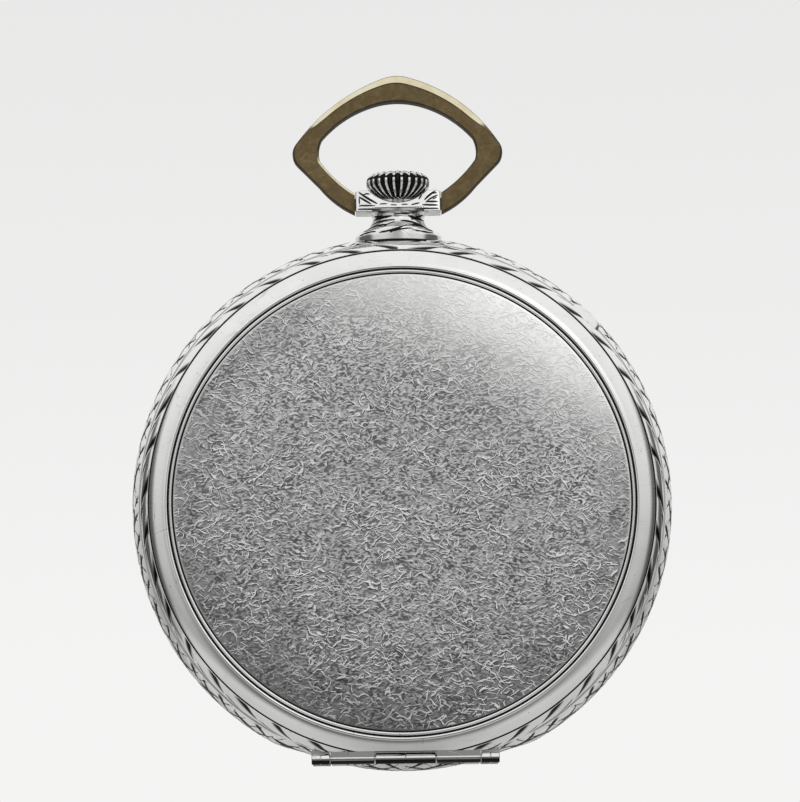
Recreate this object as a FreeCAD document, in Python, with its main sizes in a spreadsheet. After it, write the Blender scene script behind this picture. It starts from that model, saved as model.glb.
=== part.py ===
import FreeCAD, Part
import math
import os
import re
import Sketcher
from FreeCAD import Placement, Rotation, Vector

doc = FreeCAD.newDocument("PocketWatch")
sheet = doc.addObject("Spreadsheet::Sheet", "Dims")

# Open face pocket watch, millimetres. X runs right and Z up to the bow as the back is
# looked at, Y runs from the back cover to the crystal.
sizes = [
    # case
    ("band_radius", 25.0, "widest part of the engraved band"),
    ("rim_radius", 24.25, "edges of the band and foot of the bezel"),
    ("cover_radius", 24.1, "edge of the back cover"),
    ("disc_radius", 21.35, "scratched middle of the back cover"),
    ("rest_radius", 12.0, "flat the watch lies on"),
    ("cover_wall", 0.5, "sheet of the back cover"),
    ("band_back", 2.3, "back face of the band"),
    ("band_front", 8.6, "front face of the band"),
    ("lip_radius", 23.05, "snap lip under the back cover"),
    ("bezel_lip_radius", 22.7, "snap lip under the bezel"),
    ("snap_gap", 0.1, "play between a lip and its cover"),
    ("stem_level", 5.4, "axis of stem, crown and bow"),
    ("cuvette_radius", 22.55, "inner dust cover"),
    ("cuvette_wall", 0.35, "sheet of the inner dust cover"),
    ("cuvette_edge", 1.4, "outer face of the dust cover at its edge"),
    ("crystal_radius", 21.2, "edge of the glass"),
    ("crystal_wall", 0.5, "thickness of the glass"),
    ("crystal_seat", 10.05, "level of the glass edge"),
    ("crystal_rise", 1.05, "dome of the glass"),
    ("sight_radius", 20.5, "opening of the bezel"),
    # case hinges
    ("hinge_drop", 23.45, "hinge chord below the centre"),
    ("knuckle_radius", 0.5, "hinge knuckle"),
    ("knuckle_one", 2.8, "first break between knuckles"),
    ("knuckle_two", 6.9, "second break between knuckles"),
    ("knuckle_end", 8.6, "end of the hinge bar"),
    ("back_hinge_level", 1.75, "axis of the back hinge"),
    ("bezel_hinge_level", 9.15, "axis of the bezel hinge"),
    ("hinge_pin_radius", 0.28, "steel hinge pin"),
    ("dust_hinge_drop", 21.75, "dust cover hinge below the centre"),
    ("dust_hinge_level", 2.05, "axis of the dust cover hinge"),
    ("dust_knuckle_radius", 0.42, "dust cover knuckle"),
    ("dust_pin_radius", 0.2, "dust cover pin"),
    ("joint_gap", 0.05, "play between knuckles and walls"),
    ("fit", 0.03, "radial play of a turning fit"),
    # pendant, crown and bow
    ("pendant_foot_radius", 3.85, "flare of the pendant"),
    ("pendant_neck_radius", 2.4, "narrow neck of the pendant"),
    ("neck_height", 26.7, "neck above the centre"),
    ("ear_half", 3.95, "half width over the ears"),
    ("ear_low", 27.2, "underside of the ears"),
    ("ear_high", 29.3, "top of the ears"),
    ("ear_depth", 3.6, "ears front to back"),
    ("bow_axis", 28.1, "pivots of the bow"),
    ("bow_pin_radius", 0.6, "pivots of the bow in the ears"),
    ("bow_depth", 1.9, "bow front to back"),
    ("bow_half", 9.79, "half width of the bow"),
    ("bow_corner", 32.83, "height of the bow's side corners"),
    ("bow_top", 40.15, "top of the bow"),
    ("bow_inner_half", 7.32, "half width inside the bow"),
    ("bow_inner_top", 37.65, "top of the opening in the bow"),
    ("sleeve_radius", 1.6, "steel sleeve in the pendant"),
    ("stem_radius", 0.6, "winding stem"),
    ("crown_radius", 2.95, "widest part of the crown"),
    ("crown_low", 28.5, "underside of the crown"),
    ("crown_high", 31.2, "top of the crown"),
    ("crown_flutes", 24, "flutes round the crown"),
    ("crown_pull", 0.8, "travel of the pulled crown"),
    # movement
    ("plate_radius", 20.3, "mainplate"),
    ("plate_flange", 20.9, "shoulder of the mainplate"),
    ("plate_back", 6.5, "train side of the mainplate"),
    ("plate_front", 8.1, "dial side of the mainplate"),
    ("plate_recess", 6.95, "floor of the dial side recesses"),
    ("bridge_radius", 20.0, "outer edge of the bridges"),
    ("bridge_back", 3.0, "outer face of the bridges"),
    ("bridge_wall", 1.1, "thickness of the bridges"),
    ("cock_back", 2.3, "outer face of the balance cock"),
    ("cock_wall", 1.1, "thickness of the balance cock"),
    ("jewel_radius", 0.55, "pressed ruby bearings"),
    ("jewel_wall", 0.3, "thickness of the rubies"),
    ("pivot_radius", 0.12, "pivots of the train"),
    ("jewel_hole", 0.15, "holes in the rubies"),
    ("screw_head_radius", 0.9, "bridge screw heads"),
    ("screw_radius", 0.45, "bridge screw threads"),
    # train
    ("barrel_x", 7.023, "barrel centre"),
    ("barrel_z", 6.323, "barrel centre"),
    ("barrel_teeth", 80, ""),
    ("barrel_module", 0.21, ""),
    ("barrel_drum", 8.0, "outside of the drum"),
    ("centre_leaves", 10, ""),
    ("centre_teeth", 80, ""),
    ("centre_module", 0.15, ""),
    ("third_leaves", 10, ""),
    ("third_teeth", 75, ""),
    ("third_module", 0.105, ""),
    ("fourth_leaves", 10, ""),
    ("fourth_teeth", 80, ""),
    ("fourth_module", 0.1, ""),
    ("fourth_x", 0.0, "seconds arbor"),
    ("fourth_z", -9.4, "seconds arbor"),
    ("escape_leaves", 8, ""),
    ("escape_teeth", 15, ""),
    ("escape_radius", 3.2, "tips of the escape wheel"),
    ("escape_x", -4.135, "escape arbor"),
    ("pallet_turn", 128.0, "line from escape arbor to balance staff"),
    ("pallet_reach", 3.7, "escape arbor to pallet arbor"),
    ("balance_reach", 8.4, "escape arbor to balance staff"),
    ("balance_radius", 7.0, "rim of the balance"),
    # winding and setting
    ("ratchet_teeth", 46, ""),
    ("crown_teeth", 30, ""),
    ("pinion_teeth", 20, ""),
    ("winding_module", 0.25, ""),
    ("crown_wheel_z", 12.72, "crown wheel centre"),
    ("wheel_wall", 0.5, "ratchet and crown wheels"),
    ("pinion_low", 16.3, "inner end of the winding pinion"),
    ("pinion_high", 17.4, "outer end of the winding pinion"),
    ("clutch_radius", 1.85, ""),
    ("clutch_low", 14.75, "inner end of the clutch"),
    ("clutch_high", 16.2, "outer end of the clutch"),
    ("clutch_travel", 0.65, ""),
    ("groove_height", 18.1, "groove of the stem"),
    ("lever_arm", 3.6, "setting lever pivot beside the stem"),
    ("yoke_arm", 4.6, "yoke pivot beside the stem"),
    ("yoke_height", 15.5, "yoke pivot and clutch groove"),
    ("setting_module", 0.17, ""),
    ("cannon_leaves", 12, ""),
    ("minute_teeth", 36, ""),
    ("minute_leaves", 12, ""),
    ("hour_teeth", 48, ""),
    ("setting_teeth", 27, ""),
    ("setting_teeth_two", 26, ""),
    ("setting_z", 11.6, "first setting wheel"),
    ("minute_turn", 100.0, "direction from the centre to the minute wheel"),
    # dial and hands
    ("dial_radius", 20.75, ""),
    ("dial_back", 8.6, ""),
    ("dial_wall", 0.4, ""),
    ("seconds_dial_radius", 5.2, ""),
    ("hour_hand", 11.2, ""),
    ("minute_hand", 16.8, ""),
    ("seconds_hand", 4.0, ""),
]
words = set()
for row, (word, value, note) in enumerate(sizes, start=1):
    sheet.set("A%d" % row, word)
    sheet.set("B%d" % row, str(value))
    sheet.set("C%d" % row, note)
    sheet.setAlias("B%d" % row, word)
    words.add(word)
doc.recompute()


def bound(text):
    return re.sub(r"[a-z_]+", lambda m: "Dims." + m.group() if m.group() in words else m.group(), text)


def size(text):
    return float(sheet.evalExpression(bound(text)))


def newBody(label, x="0", y="0", z="0"):
    made = doc.addObject("PartDesign::Body", label)
    made.Label = label
    for axis, text in zip("xyz", (x, y, z)):
        made.setExpression("Placement.Base." + axis, bound(text))
    return made


def plane(owner, role):
    return [part for part in owner.Origin.OriginFeatures if part.Role == role][0]


def pin(sketch, geometry, end, point):
    for kind, text in zip(("DistanceX", "DistanceY"), point):
        index = sketch.addConstraint(Sketcher.Constraint(kind, -1, 1, geometry, end, size(text)))
        sketch.setExpression("Constraints[%d]" % index, bound(text))


def drawLoop(sketch, points):
    """Closed outline; a third item marks a point that the arc passes through."""
    corners = [n for n, point in enumerate(points) if len(point) == 2]
    ends = []
    for place, here in enumerate(corners):
        there = corners[(place + 1) % len(corners)]
        middle = points[here + 1] if here + 1 < len(points) and len(points[here + 1]) == 3 else None
        at = [Vector(size(points[n][0]), size(points[n][1]), 0) for n in (here, there)]
        if middle:
            through = Vector(size(middle[0]), size(middle[1]), 0)
            made = sketch.addGeometry(Part.Arc(at[0], through, at[1]), False)
        else:
            made = sketch.addGeometry(Part.LineSegment(at[0], at[1]), False)
        first = 1 if sketch.getPoint(made, 1).distanceToPoint(at[0]) < 1e-6 else 2
        ends.append((made, first, 3 - first, middle, points[here]))
    for place, (made, first, last, middle, point) in enumerate(ends):
        following = ends[(place + 1) % len(ends)]
        sketch.addConstraint(Sketcher.Constraint("Coincident", made, last, following[0], following[1]))
    for made, first, last, middle, point in ends:
        pin(sketch, made, first, point)
        if middle:
            mark = sketch.addGeometry(Part.Point(Vector(size(middle[0]), size(middle[1]), 0)), True)
            pin(sketch, mark, 1, middle[:2])
            sketch.addConstraint(Sketcher.Constraint("PointOnObject", mark, 1, made))


def drawRound(sketch, x, y, radius):
    made = sketch.addGeometry(Part.Circle(Vector(size(x), size(y), 0), Vector(0, 0, 1), size(radius)), False)
    pin(sketch, made, 3, (x, y))
    index = sketch.addConstraint(Sketcher.Constraint("Radius", made, size(radius)))
    sketch.setExpression("Constraints[%d]" % index, bound(radius))


def newSketch(owner, role, outlines, level="0"):
    sketch = owner.newObject("Sketcher::SketchObject", owner.Label + "_outline")
    sketch.AttachmentSupport = (plane(owner, role), "")
    sketch.MapMode = "FlatFace"
    sketch.setExpression("AttachmentOffset.Base.z", bound(level))
    for outline in outlines:
        if outline[0] == "round":
            drawRound(sketch, *outline[1:])
        else:
            drawLoop(sketch, outline)
    return sketch


def turned(owner, outline, axis="V_Axis", role="XY_Plane", cut=False):
    kind = "PartDesign::Groove" if cut else "PartDesign::Revolution"
    sketch = newSketch(owner, role, [outline])
    made = owner.newObject(kind, owner.Label + "_turned")
    made.Profile = sketch
    made.ReferenceAxis = (sketch, [axis])
    made.Angle = 360
    sketch.Visibility = False
    return made


def slab(owner, outlines, low, high, cut=False, role="XZ_Plane"):
    """Pad or pocket between two levels along the plane's axis."""
    front = role == "XZ_Plane"
    sketch = newSketch(owner, role, outlines, "-(%s)" % low if front else low)
    made = owner.newObject("PartDesign::Pocket" if cut else "PartDesign::Pad", owner.Label + "_slab")
    made.Profile = sketch
    made.setExpression("Length", bound("(%s)-(%s)" % (high, low)))
    made.Reversed = front != cut
    sketch.Visibility = False
    return made


def box(left, right, low, high):
    return [(left, low), (right, low), (right, high), (left, high)]


def polar(radius, degrees):
    return ("(%s)*cos(%s)" % (radius, degrees), "(%s)*sin(%s)" % (radius, degrees))


def sector(inner, outer, start, end):
    """Ring sector in the dial plane, angles in degrees from +X towards +Z."""
    middle = (start + end) / 2
    return [
        polar(inner, start), polar(outer, start), polar(outer, middle) + ("via",),
        polar(outer, end), polar(inner, end), polar(inner, middle) + ("via",),
    ]


def held(label, shape, x=0.0, z=0.0):
    made = doc.addObject("Part::Feature", label)
    made.Label = label
    made.Shape = shape
    made.Placement = Placement(Vector(x, 0, z), Rotation()).multiply(shape.Placement)
    return made


def hingeOutline(level, drop, radius):
    return [("round", level, "-" + drop, radius)]


def spans(sign_pairs):
    return [("-(%s)" % b, "-(%s)" % a) for a, b in sign_pairs] + list(sign_pairs)


ends = spans([("knuckle_two+joint_gap", "knuckle_end")])
middle = [("-(knuckle_one-joint_gap)", "knuckle_one-joint_gap")]
moving = spans([("knuckle_one+joint_gap", "knuckle_two-joint_gap")])
knuckle_low = "-(hinge_drop+knuckle_radius)"
knuckle_high = "-(hinge_drop-knuckle_radius)"

# case band: hollow ring with a ledge for the movement and a snap lip at each face
band = newBody("case_band")
turned(band, [
    ("rim_radius", "band_back"), ("band_radius-0.5", "band_back+0.5"),
    ("band_radius", "stem_level", "via"), ("band_radius-0.5", "band_front-0.5"),
    ("rim_radius", "band_front"), ("bezel_lip_radius", "band_front"),
    ("bezel_lip_radius", "band_front+0.8"), ("bezel_lip_radius-0.5", "band_front+0.8"),
    ("bezel_lip_radius-0.5", "band_front"), ("plate_flange+0.1", "band_front"),
    ("plate_flange+0.1", "plate_front-0.55"), ("plate_radius+0.05", "plate_front-0.55"),
    ("plate_radius+0.05", "plate_back"), ("rim_radius-1.1", "plate_back"),
    ("band_radius-1.2", "stem_level", "via"), ("rim_radius-1.1", "band_back+0.9"),
    ("plate_radius+0.4", "band_back+0.9"), ("plate_radius+0.4", "band_back"),
    ("lip_radius-1.05", "band_back"), ("lip_radius-1.05", "cuvette_edge+cuvette_wall"),
    ("lip_radius-0.35", "cuvette_edge+cuvette_wall"), ("lip_radius-0.35", "cuvette_edge+0.1"),
    ("lip_radius", "cuvette_edge+0.1"), ("lip_radius", "band_back"),
])
slab(band, [box("-12", "12", "-26", "-20.6")], "0", "band_back", cut=True)
slab(band, [box("-12", "12", "-26", "-20.6")], "band_front", "band_front+2", cut=True)
for left, right in ends:
    slab(band, [box(left, right, "-hinge_drop", "-21.4")], "band_back", "band_front")
for left, right in ends + middle:
    for level, inner in (("back_hinge_level", "band_back+0.1"), ("bezel_hinge_level", "band_front-0.1")):
        low, high = (level, inner) if level.startswith("back") else (inner, level)
        slab(band, [box(left, right, knuckle_low, knuckle_high)], low, high)
        slab(band, hingeOutline(level, "hinge_drop", "knuckle_radius"), left, right, role="YZ_Plane")
for level in ("back_hinge_level", "bezel_hinge_level"):
    slab(band, hingeOutline(level, "hinge_drop", "hinge_pin_radius"), "-15", "15", cut=True, role="YZ_Plane")
dust_low = "-(dust_hinge_drop+dust_knuckle_radius+joint_gap)"
dust_high = "-(dust_hinge_drop-dust_knuckle_radius-joint_gap)"
slab(band, [box("-1.6", "1.6", dust_low, dust_high)], "0", "dust_hinge_level+dust_knuckle_radius+0.05", cut=True)
for left, right in spans([("1.6", "3.4")]):
    drop = ("-(dust_hinge_drop+dust_knuckle_radius)", "-(dust_hinge_drop-dust_knuckle_radius)")
    slab(band, [box(left, right, *drop)], "dust_hinge_level", "band_back+0.1")
    outline = hingeOutline("dust_hinge_level", "dust_hinge_drop", "dust_knuckle_radius")
    slab(band, outline, left, right, role="YZ_Plane")
outline = hingeOutline("dust_hinge_level", "dust_hinge_drop", "dust_pin_radius")
slab(band, outline, "-3.4", "3.4", cut=True, role="YZ_Plane")
slab(band, [("round", "0", "stem_level", "sleeve_radius")], "20", "26", cut=True, role="XY_Plane")

# back cover: flat rest, low dome, bead and groove, rolled ring, thumb lip and two knuckles
back = newBody("back_cover")
turned(back, [
    ("0", "0"), ("rest_radius", "0"), ("(rest_radius+disc_radius)/2", "0.16", "via"), ("disc_radius", "0.5"),
    ("disc_radius+0.1", "0.34"), ("disc_radius+0.3", "0.34"), ("disc_radius+0.4", "0.75"),
    ("disc_radius+0.62", "0.75"), ("disc_radius+0.75", "0.5"), ("disc_radius+1.35", "0.42", "via"),
    ("cover_radius-0.8", "0.95"), ("cover_radius-0.2", "1.35", "via"), ("cover_radius", "band_back-joint_gap"),
    ("lip_radius+snap_gap", "band_back-joint_gap"), ("lip_radius+snap_gap", "1.4"),
    ("lip_radius-0.35", "1.2"), ("disc_radius-0.1", "1.15"), ("rest_radius", "cover_wall"), ("0", "cover_wall"),
])
slab(back, [box("-30", "30", "-30", "-(hinge_drop-0.65)")], "-1", "4", cut=True)
slab(back, [box("-1.8", "1.8", "-22.9", "-20.5")], "1.3", "1.75", cut=True)
for left, right in moving:
    slab(back, [box(left, right, "-hinge_drop", "-(hinge_drop-1.3)")], "1.25", "2.1")
    slab(back, hingeOutline("back_hinge_level", "hinge_drop", "knuckle_radius"), left, right, role="YZ_Plane")
outline = hingeOutline("back_hinge_level", "hinge_drop", "hinge_pin_radius+fit")
slab(back, outline, "-10", "10", cut=True, role="YZ_Plane")
slab(back, [sector("cover_radius-0.4", "cover_radius+0.65", 40.5, 48.5)], "1.6", "2.15")

# inner dust cover on its own pin
dust = newBody("cuvette")
turned(dust, [
    ("0", "cuvette_edge-0.6"), ("rest_radius", "cuvette_edge-0.5"), ("20", "cuvette_edge-0.15"),
    ("cuvette_radius", "cuvette_edge"), ("cuvette_radius", "cuvette_edge+cuvette_wall"),
    ("20", "cuvette_edge+cuvette_wall-0.15"), ("rest_radius", "cuvette_edge+cuvette_wall-0.5"),
    ("0", "cuvette_edge+cuvette_wall-0.6"),
])
slab(dust, [box("-30", "30", "-30", "-(dust_hinge_drop-0.6)")], "0", "4", cut=True)
slab(dust, [box("-1.5", "1.5", "-dust_hinge_drop", "-(dust_hinge_drop-0.9)")], "1.65", "1.95")
slab(dust, [box("-1.5", "1.5", "-(dust_hinge_drop-0.5)", "-(dust_hinge_drop-1)")], "1.5", "1.95")
outline = hingeOutline("dust_hinge_level", "dust_hinge_drop", "dust_knuckle_radius")
slab(dust, outline, "-1.5", "1.5", role="YZ_Plane")
outline = hingeOutline("dust_hinge_level", "dust_hinge_drop", "dust_pin_radius+fit")
slab(dust, outline, "-2", "2", cut=True, role="YZ_Plane")

# bezel with a groove for the glass
bezel = newBody("bezel")
turned(bezel, [
    ("bezel_lip_radius+joint_gap", "band_front+joint_gap"), ("rim_radius", "band_front+joint_gap"),
    ("rim_radius", "band_front+0.4"), ("rim_radius-0.6", "crystal_seat", "via"),
    ("rim_radius-2.1", "crystal_seat+0.9"), ("crystal_radius-0.3", "crystal_seat+0.9"),
    ("crystal_radius-0.5", "crystal_seat+crystal_wall"), ("crystal_radius", "crystal_seat+crystal_wall"),
    ("crystal_radius", "crystal_seat"), ("sight_radius", "crystal_seat"), ("sight_radius", "band_front+1"),
    ("bezel_lip_radius+joint_gap", "band_front+1"),
])
slab(bezel, [box("-30", "30", "-30", "-(hinge_drop-0.65)")], "8", "12", cut=True)
for left, right in moving:
    slab(bezel, [box(left, right, "-hinge_drop", "-(hinge_drop-1.3)")], "8.8", "9.65")
    slab(bezel, hingeOutline("bezel_hinge_level", "hinge_drop", "knuckle_radius"), left, right, role="YZ_Plane")
outline = hingeOutline("bezel_hinge_level", "hinge_drop", "hinge_pin_radius+fit")
slab(bezel, outline, "-10", "10", cut=True, role="YZ_Plane")

glass = newBody("crystal")
glass_top = "crystal_seat+crystal_wall"
turned(glass, [
    ("0", "crystal_seat+crystal_rise"), ("1", "crystal_seat+crystal_rise"),
    ("sight_radius/2", "crystal_seat+crystal_rise*0.78", "via"),
    ("sight_radius", "crystal_seat"), ("crystal_radius", "crystal_seat"), ("crystal_radius", glass_top),
    ("sight_radius", glass_top), ("sight_radius/2", glass_top + "+crystal_rise*0.78", "via"),
    ("1", glass_top + "+crystal_rise"), ("0", glass_top + "+crystal_rise"),
])


def pinAlong(label, level, drop, radius, half):
    made = doc.addObject("Part::Cylinder", label)
    made.Label = label
    made.setExpression("Radius", bound(radius))
    made.setExpression("Height", bound("2*(%s)" % half))
    made.Placement = Placement(Vector(), Rotation(Vector(0, 1, 0), 90))
    for axis, text in zip("xyz", ("-(%s)" % half, level, "-(%s)" % drop)):
        made.setExpression("Placement.Base." + axis, bound(text))
    return made


pinAlong("cuvette_hinge_pin", "dust_hinge_level", "dust_hinge_drop", "dust_pin_radius", "3.35")
half = size("knuckle_end-0.05")
pins = []
for word in ("back_hinge_level", "bezel_hinge_level"):
    start = Vector(-half, size(word), -size("hinge_drop"))
    pins.append(Part.makeCylinder(size("hinge_pin_radius"), 2 * half, start, Vector(1, 0, 0)))
made = doc.addObject("Part::Feature", "case_hinge_pins")
made.Label = "case_hinge_pins"
made.Shape = Part.makeCompound(pins)

# pendant: flared foot, neck and ears, hollow for the sleeve
blank = newBody("pendant_blank", y="stem_level")
turned(blank, [
    ("0", "23.2"), ("pendant_foot_radius", "23.2"), ("pendant_foot_radius", "24.75"),
    ("pendant_foot_radius-0.1", "25.1"), ("pendant_neck_radius+0.35", "neck_height-0.7", "via"),
    ("pendant_neck_radius", "neck_height"), ("pendant_neck_radius+0.15", "neck_height+0.3", "via"),
    ("pendant_neck_radius+0.6", "ear_low"), ("pendant_neck_radius+0.6", "ear_low+0.4"), ("0", "ear_low+0.4"),
], role="XZ_Plane")
slab(blank, [[
    ("-ear_half", "ear_low"), ("ear_half", "ear_low"), ("ear_half", "ear_high-0.1"),
    ("ear_half-0.5", "ear_high"), ("2.7", "ear_high"), ("0", "ear_low+1", "via"),
    ("-2.7", "ear_high"), ("-(ear_half-0.5)", "ear_high"), ("-ear_half", "ear_high-0.1"),
]], "-ear_depth/2", "ear_depth/2")
slab(blank, [("round", "0", "0", "sleeve_radius")], "20", "30", cut=True, role="XY_Plane")
slab(blank, [("round", "0", "bow_axis", "bow_pin_radius+fit")], "2.55", "6", cut=True, role="YZ_Plane")
slab(blank, [("round", "0", "bow_axis", "bow_pin_radius+fit")], "-6", "-2.55", cut=True, role="YZ_Plane")
for low, high in (("-6", "-3.1"), ("3.1", "6")):
    slab(blank, [box("-6", "6", "20", "26.4")], low, high, cut=True)
under = newBody("band_blank")
turned(under, [
    ("0", "band_back"), ("rim_radius", "band_back"), ("band_radius-0.5", "band_back+0.5"),
    ("band_radius", "stem_level", "via"), ("band_radius-0.5", "band_front-0.5"),
    ("rim_radius", "band_front"), ("0", "band_front"),
])
pendant = doc.addObject("Part::Cut", "pendant")
pendant.Label = "pendant"
pendant.Base = blank
pendant.Tool = under

sleeve = newBody("pendant_sleeve", y="stem_level")
slab(sleeve, [("round", "0", "0", "sleeve_radius"), ("round", "0", "0", "stem_radius+fit")],
     "23.6", "ear_low+0.6", role="XY_Plane")

# bow: flat lozenge strip, both ends on pivots in the ears
bow = newBody("bow", y="stem_level")
arm = "ear_half+0.08"
slab(bow, [[
    (arm, "bow_axis-0.95"), ("5.5", "bow_axis-0.1", "via"), ("bow_half-2.5", "bow_corner-3.1"),
    ("bow_half-0.6", "bow_corner-1.1"), ("bow_half", "bow_corner", "via"), ("bow_half-0.5", "bow_corner+1"),
    ("bow_half-3.6", "bow_top-2.95", "via"), ("1.2", "bow_top-0.2"), ("0", "bow_top", "via"),
    ("-1.2", "bow_top-0.2"), ("-(bow_half-3.6)", "bow_top-2.95", "via"), ("-(bow_half-0.5)", "bow_corner+1"),
    ("-bow_half", "bow_corner", "via"), ("-(bow_half-0.6)", "bow_corner-1.1"),
    ("-(bow_half-2.5)", "bow_corner-3.1"), ("-5.5", "bow_axis-0.1", "via"), ("-(%s)" % arm, "bow_axis-0.95"),
    ("-(%s)" % arm, "bow_axis+1"), ("-(bow_inner_half-1.5)", "bow_corner-2.3", "via"),
    ("-(bow_inner_half-0.12)", "bow_corner-0.7"), ("-bow_inner_half", "bow_corner+0.3", "via"),
    ("-(bow_inner_half-0.3)", "bow_corner+1.4"), ("-(bow_inner_half-2.3)", "bow_inner_top-1.65", "via"),
    ("-2.6", "bow_inner_top-0.45"), ("0", "bow_inner_top", "via"), ("2.6", "bow_inner_top-0.45"),
    ("bow_inner_half-2.3", "bow_inner_top-1.65", "via"), ("bow_inner_half-0.3", "bow_corner+1.4"),
    ("bow_inner_half", "bow_corner+0.3", "via"), ("bow_inner_half-0.12", "bow_corner-0.7"),
    ("bow_inner_half-1.5", "bow_corner-2.3", "via"), (arm, "bow_axis+1"),
]], "-bow_depth/2", "bow_depth/2")
for left, right in spans([("2.65", arm + "+0.8")]):
    slab(bow, [("round", "0", "bow_axis", "bow_pin_radius")], left, right, role="YZ_Plane")


def spot(word):
    return size(word)


def meet(one, reach_one, two, reach_two, side):
    """Centre at set distances from two others, on the left (1) or right (-1) of the way from one to two."""
    run = Vector(two).sub(one)
    along = (reach_one ** 2 - reach_two ** 2 + run.Length ** 2) / (2 * run.Length)
    across = math.sqrt(reach_one ** 2 - along ** 2)
    run.normalize()
    return one + run * along + Vector(-run.z, 0, run.x) * across * side


def towards(start, degrees, reach):
    turn = math.radians(degrees)
    return start + Vector(math.cos(turn), 0, math.sin(turn)) * reach


centre = Vector(0, 0, 0)
barrel_at = Vector(spot("barrel_x"), 0, spot("barrel_z"))
fourth_at = Vector(spot("fourth_x"), 0, spot("fourth_z"))
third_at = meet(
    centre, size("centre_module*(centre_teeth+third_leaves)/2"),
    fourth_at, size("third_module*(third_teeth+fourth_leaves)/2"), 1)
escape_reach = size("fourth_module*(fourth_teeth+escape_leaves)/2")
escape_x = size("escape_x-fourth_x")
escape_at = fourth_at + Vector(escape_x, 0, -math.sqrt(escape_reach ** 2 - escape_x ** 2))
pallet_at = towards(escape_at, spot("pallet_turn"), spot("pallet_reach"))
balance_at = towards(escape_at, spot("pallet_turn"), spot("balance_reach"))
crown_wheel_at = Vector(0, 0, spot("crown_wheel_z"))
minute_at = towards(centre, spot("minute_turn"), size("setting_module*(cannon_leaves+minute_teeth)/2"))
setting_at = Vector(0, 0, spot("setting_z"))
setting_two_at = meet(
    setting_at, size("setting_module*(setting_teeth+setting_teeth_two)/2"),
    minute_at, size("setting_module*(setting_teeth_two+minute_teeth)/2"), -1)
hour_module = size("setting_module*(cannon_leaves+minute_teeth)/(minute_leaves+hour_teeth)")
yoke_at = Vector(-spot("yoke_arm"), 0, spot("yoke_height"))
lever_at = Vector(spot("lever_arm"), 0, spot("groove_height"))
click_at = barrel_at + Vector(8.0, 0, 0.6)


def disc(radius, low, high, at=centre):
    return Part.makeCylinder(radius, high - low, Vector(at.x, low, at.z), Vector(0, 1, 0))


def tube(outer, inner, low, high, at=centre):
    return disc(outer, low, high, at).cut(disc(inner, low - 1, high + 1, at))


def prism(points, low, high):
    ring = [Vector(x, low, z) for x, z in points]
    return Part.Face(Part.makePolygon(ring + ring[:1])).extrude(Vector(0, high - low, 0))


def toothed(teeth, module, low, high, phase, leaf=False):
    """Spur teeth; phase is the direction of one tooth, in radians from +X towards +Z."""
    teeth = int(teeth)
    pitch = 2 * math.pi / teeth
    radius = module * teeth / 2
    rises = (-1.25, 0.0, 0.55, 0.75) if leaf else (-1.25, 0.0, 0.6, 0.95)
    halves = (0.24, 0.17, 0.11, 0.05) if leaf else (0.27, 0.2, 0.13, 0.06)
    points = []
    for number in range(teeth):
        at = phase + number * pitch
        steps = list(zip(rises, halves))
        for rise, half, side in [(a, b, -1) for a, b in steps] + [(a, b, 1) for a, b in reversed(steps)]:
            reach = radius + rise * module
            flank = at + side * half * pitch
            points.append((reach * math.cos(flank), reach * math.sin(flank)))
    return prism(points, low, high)


def meshed(teeth, phase, other_teeth, from_at, to_at):
    """Phase of a wheel at to_at so that its teeth sit in the gaps of the wheel at from_at."""
    way = to_at - from_at
    angle = math.atan2(way.z, way.x)
    share = (angle - phase) * teeth / (2 * math.pi)
    return angle + math.pi - (0.5 - share) * 2 * math.pi / other_teeth


def windowed(wheel, inner, outer, arms, low, high):
    """Crossed-out wheel: openings between straight-sided arms."""
    for number in range(arms):
        start = (number + 0.14) * 2 * math.pi / arms
        end = (number + 0.86) * 2 * math.pi / arms
        steps = [start + (end - start) * n / 6 for n in range(7)]
        ring = [(outer * math.cos(a), outer * math.sin(a)) for a in steps]
        ring += [(inner * math.cos(a), inner * math.sin(a)) for a in (end - 0.1, start + 0.1)]
        wheel = wheel.cut(prism(ring, low - 1, high + 1))
    return wheel


phase_barrel = 0.0
phase_centre_pinion = meshed(size("barrel_teeth"), phase_barrel, size("centre_leaves"), barrel_at, centre)
phase_centre = 0.02
phase_third_pinion = meshed(size("centre_teeth"), phase_centre, size("third_leaves"), centre, third_at)
phase_third = 0.01
phase_fourth_pinion = meshed(size("third_teeth"), phase_third, size("fourth_leaves"), third_at, fourth_at)
phase_fourth = 0.03
phase_escape_pinion = meshed(size("fourth_teeth"), phase_fourth, size("escape_leaves"), fourth_at, escape_at)
phase_cannon = 0.0
phase_minute = meshed(size("cannon_leaves"), phase_cannon, size("minute_teeth"), centre, minute_at)
phase_two = meshed(size("minute_teeth"), phase_minute, size("setting_teeth_two"), minute_at, setting_two_at)
phase_one = meshed(size("setting_teeth_two"), phase_two, size("setting_teeth"), setting_two_at, setting_at)
phase_minute_pinion = 0.1
phase_hour = meshed(size("minute_leaves"), phase_minute_pinion, size("hour_teeth"), minute_at, centre)
phase_ratchet = 0.0
phase_crown_wheel = meshed(size("ratchet_teeth"), phase_ratchet, size("crown_teeth"), barrel_at, crown_wheel_at)

pivot = size("pivot_radius")
bridge_low = size("bridge_back")
bridge_high = size("bridge_back+bridge_wall")
plate_low = size("plate_back")
plate_high = size("plate_front")
floor = size("plate_recess")
ruby = size("jewel_radius")
ruby_wall = size("jewel_wall")

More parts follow.
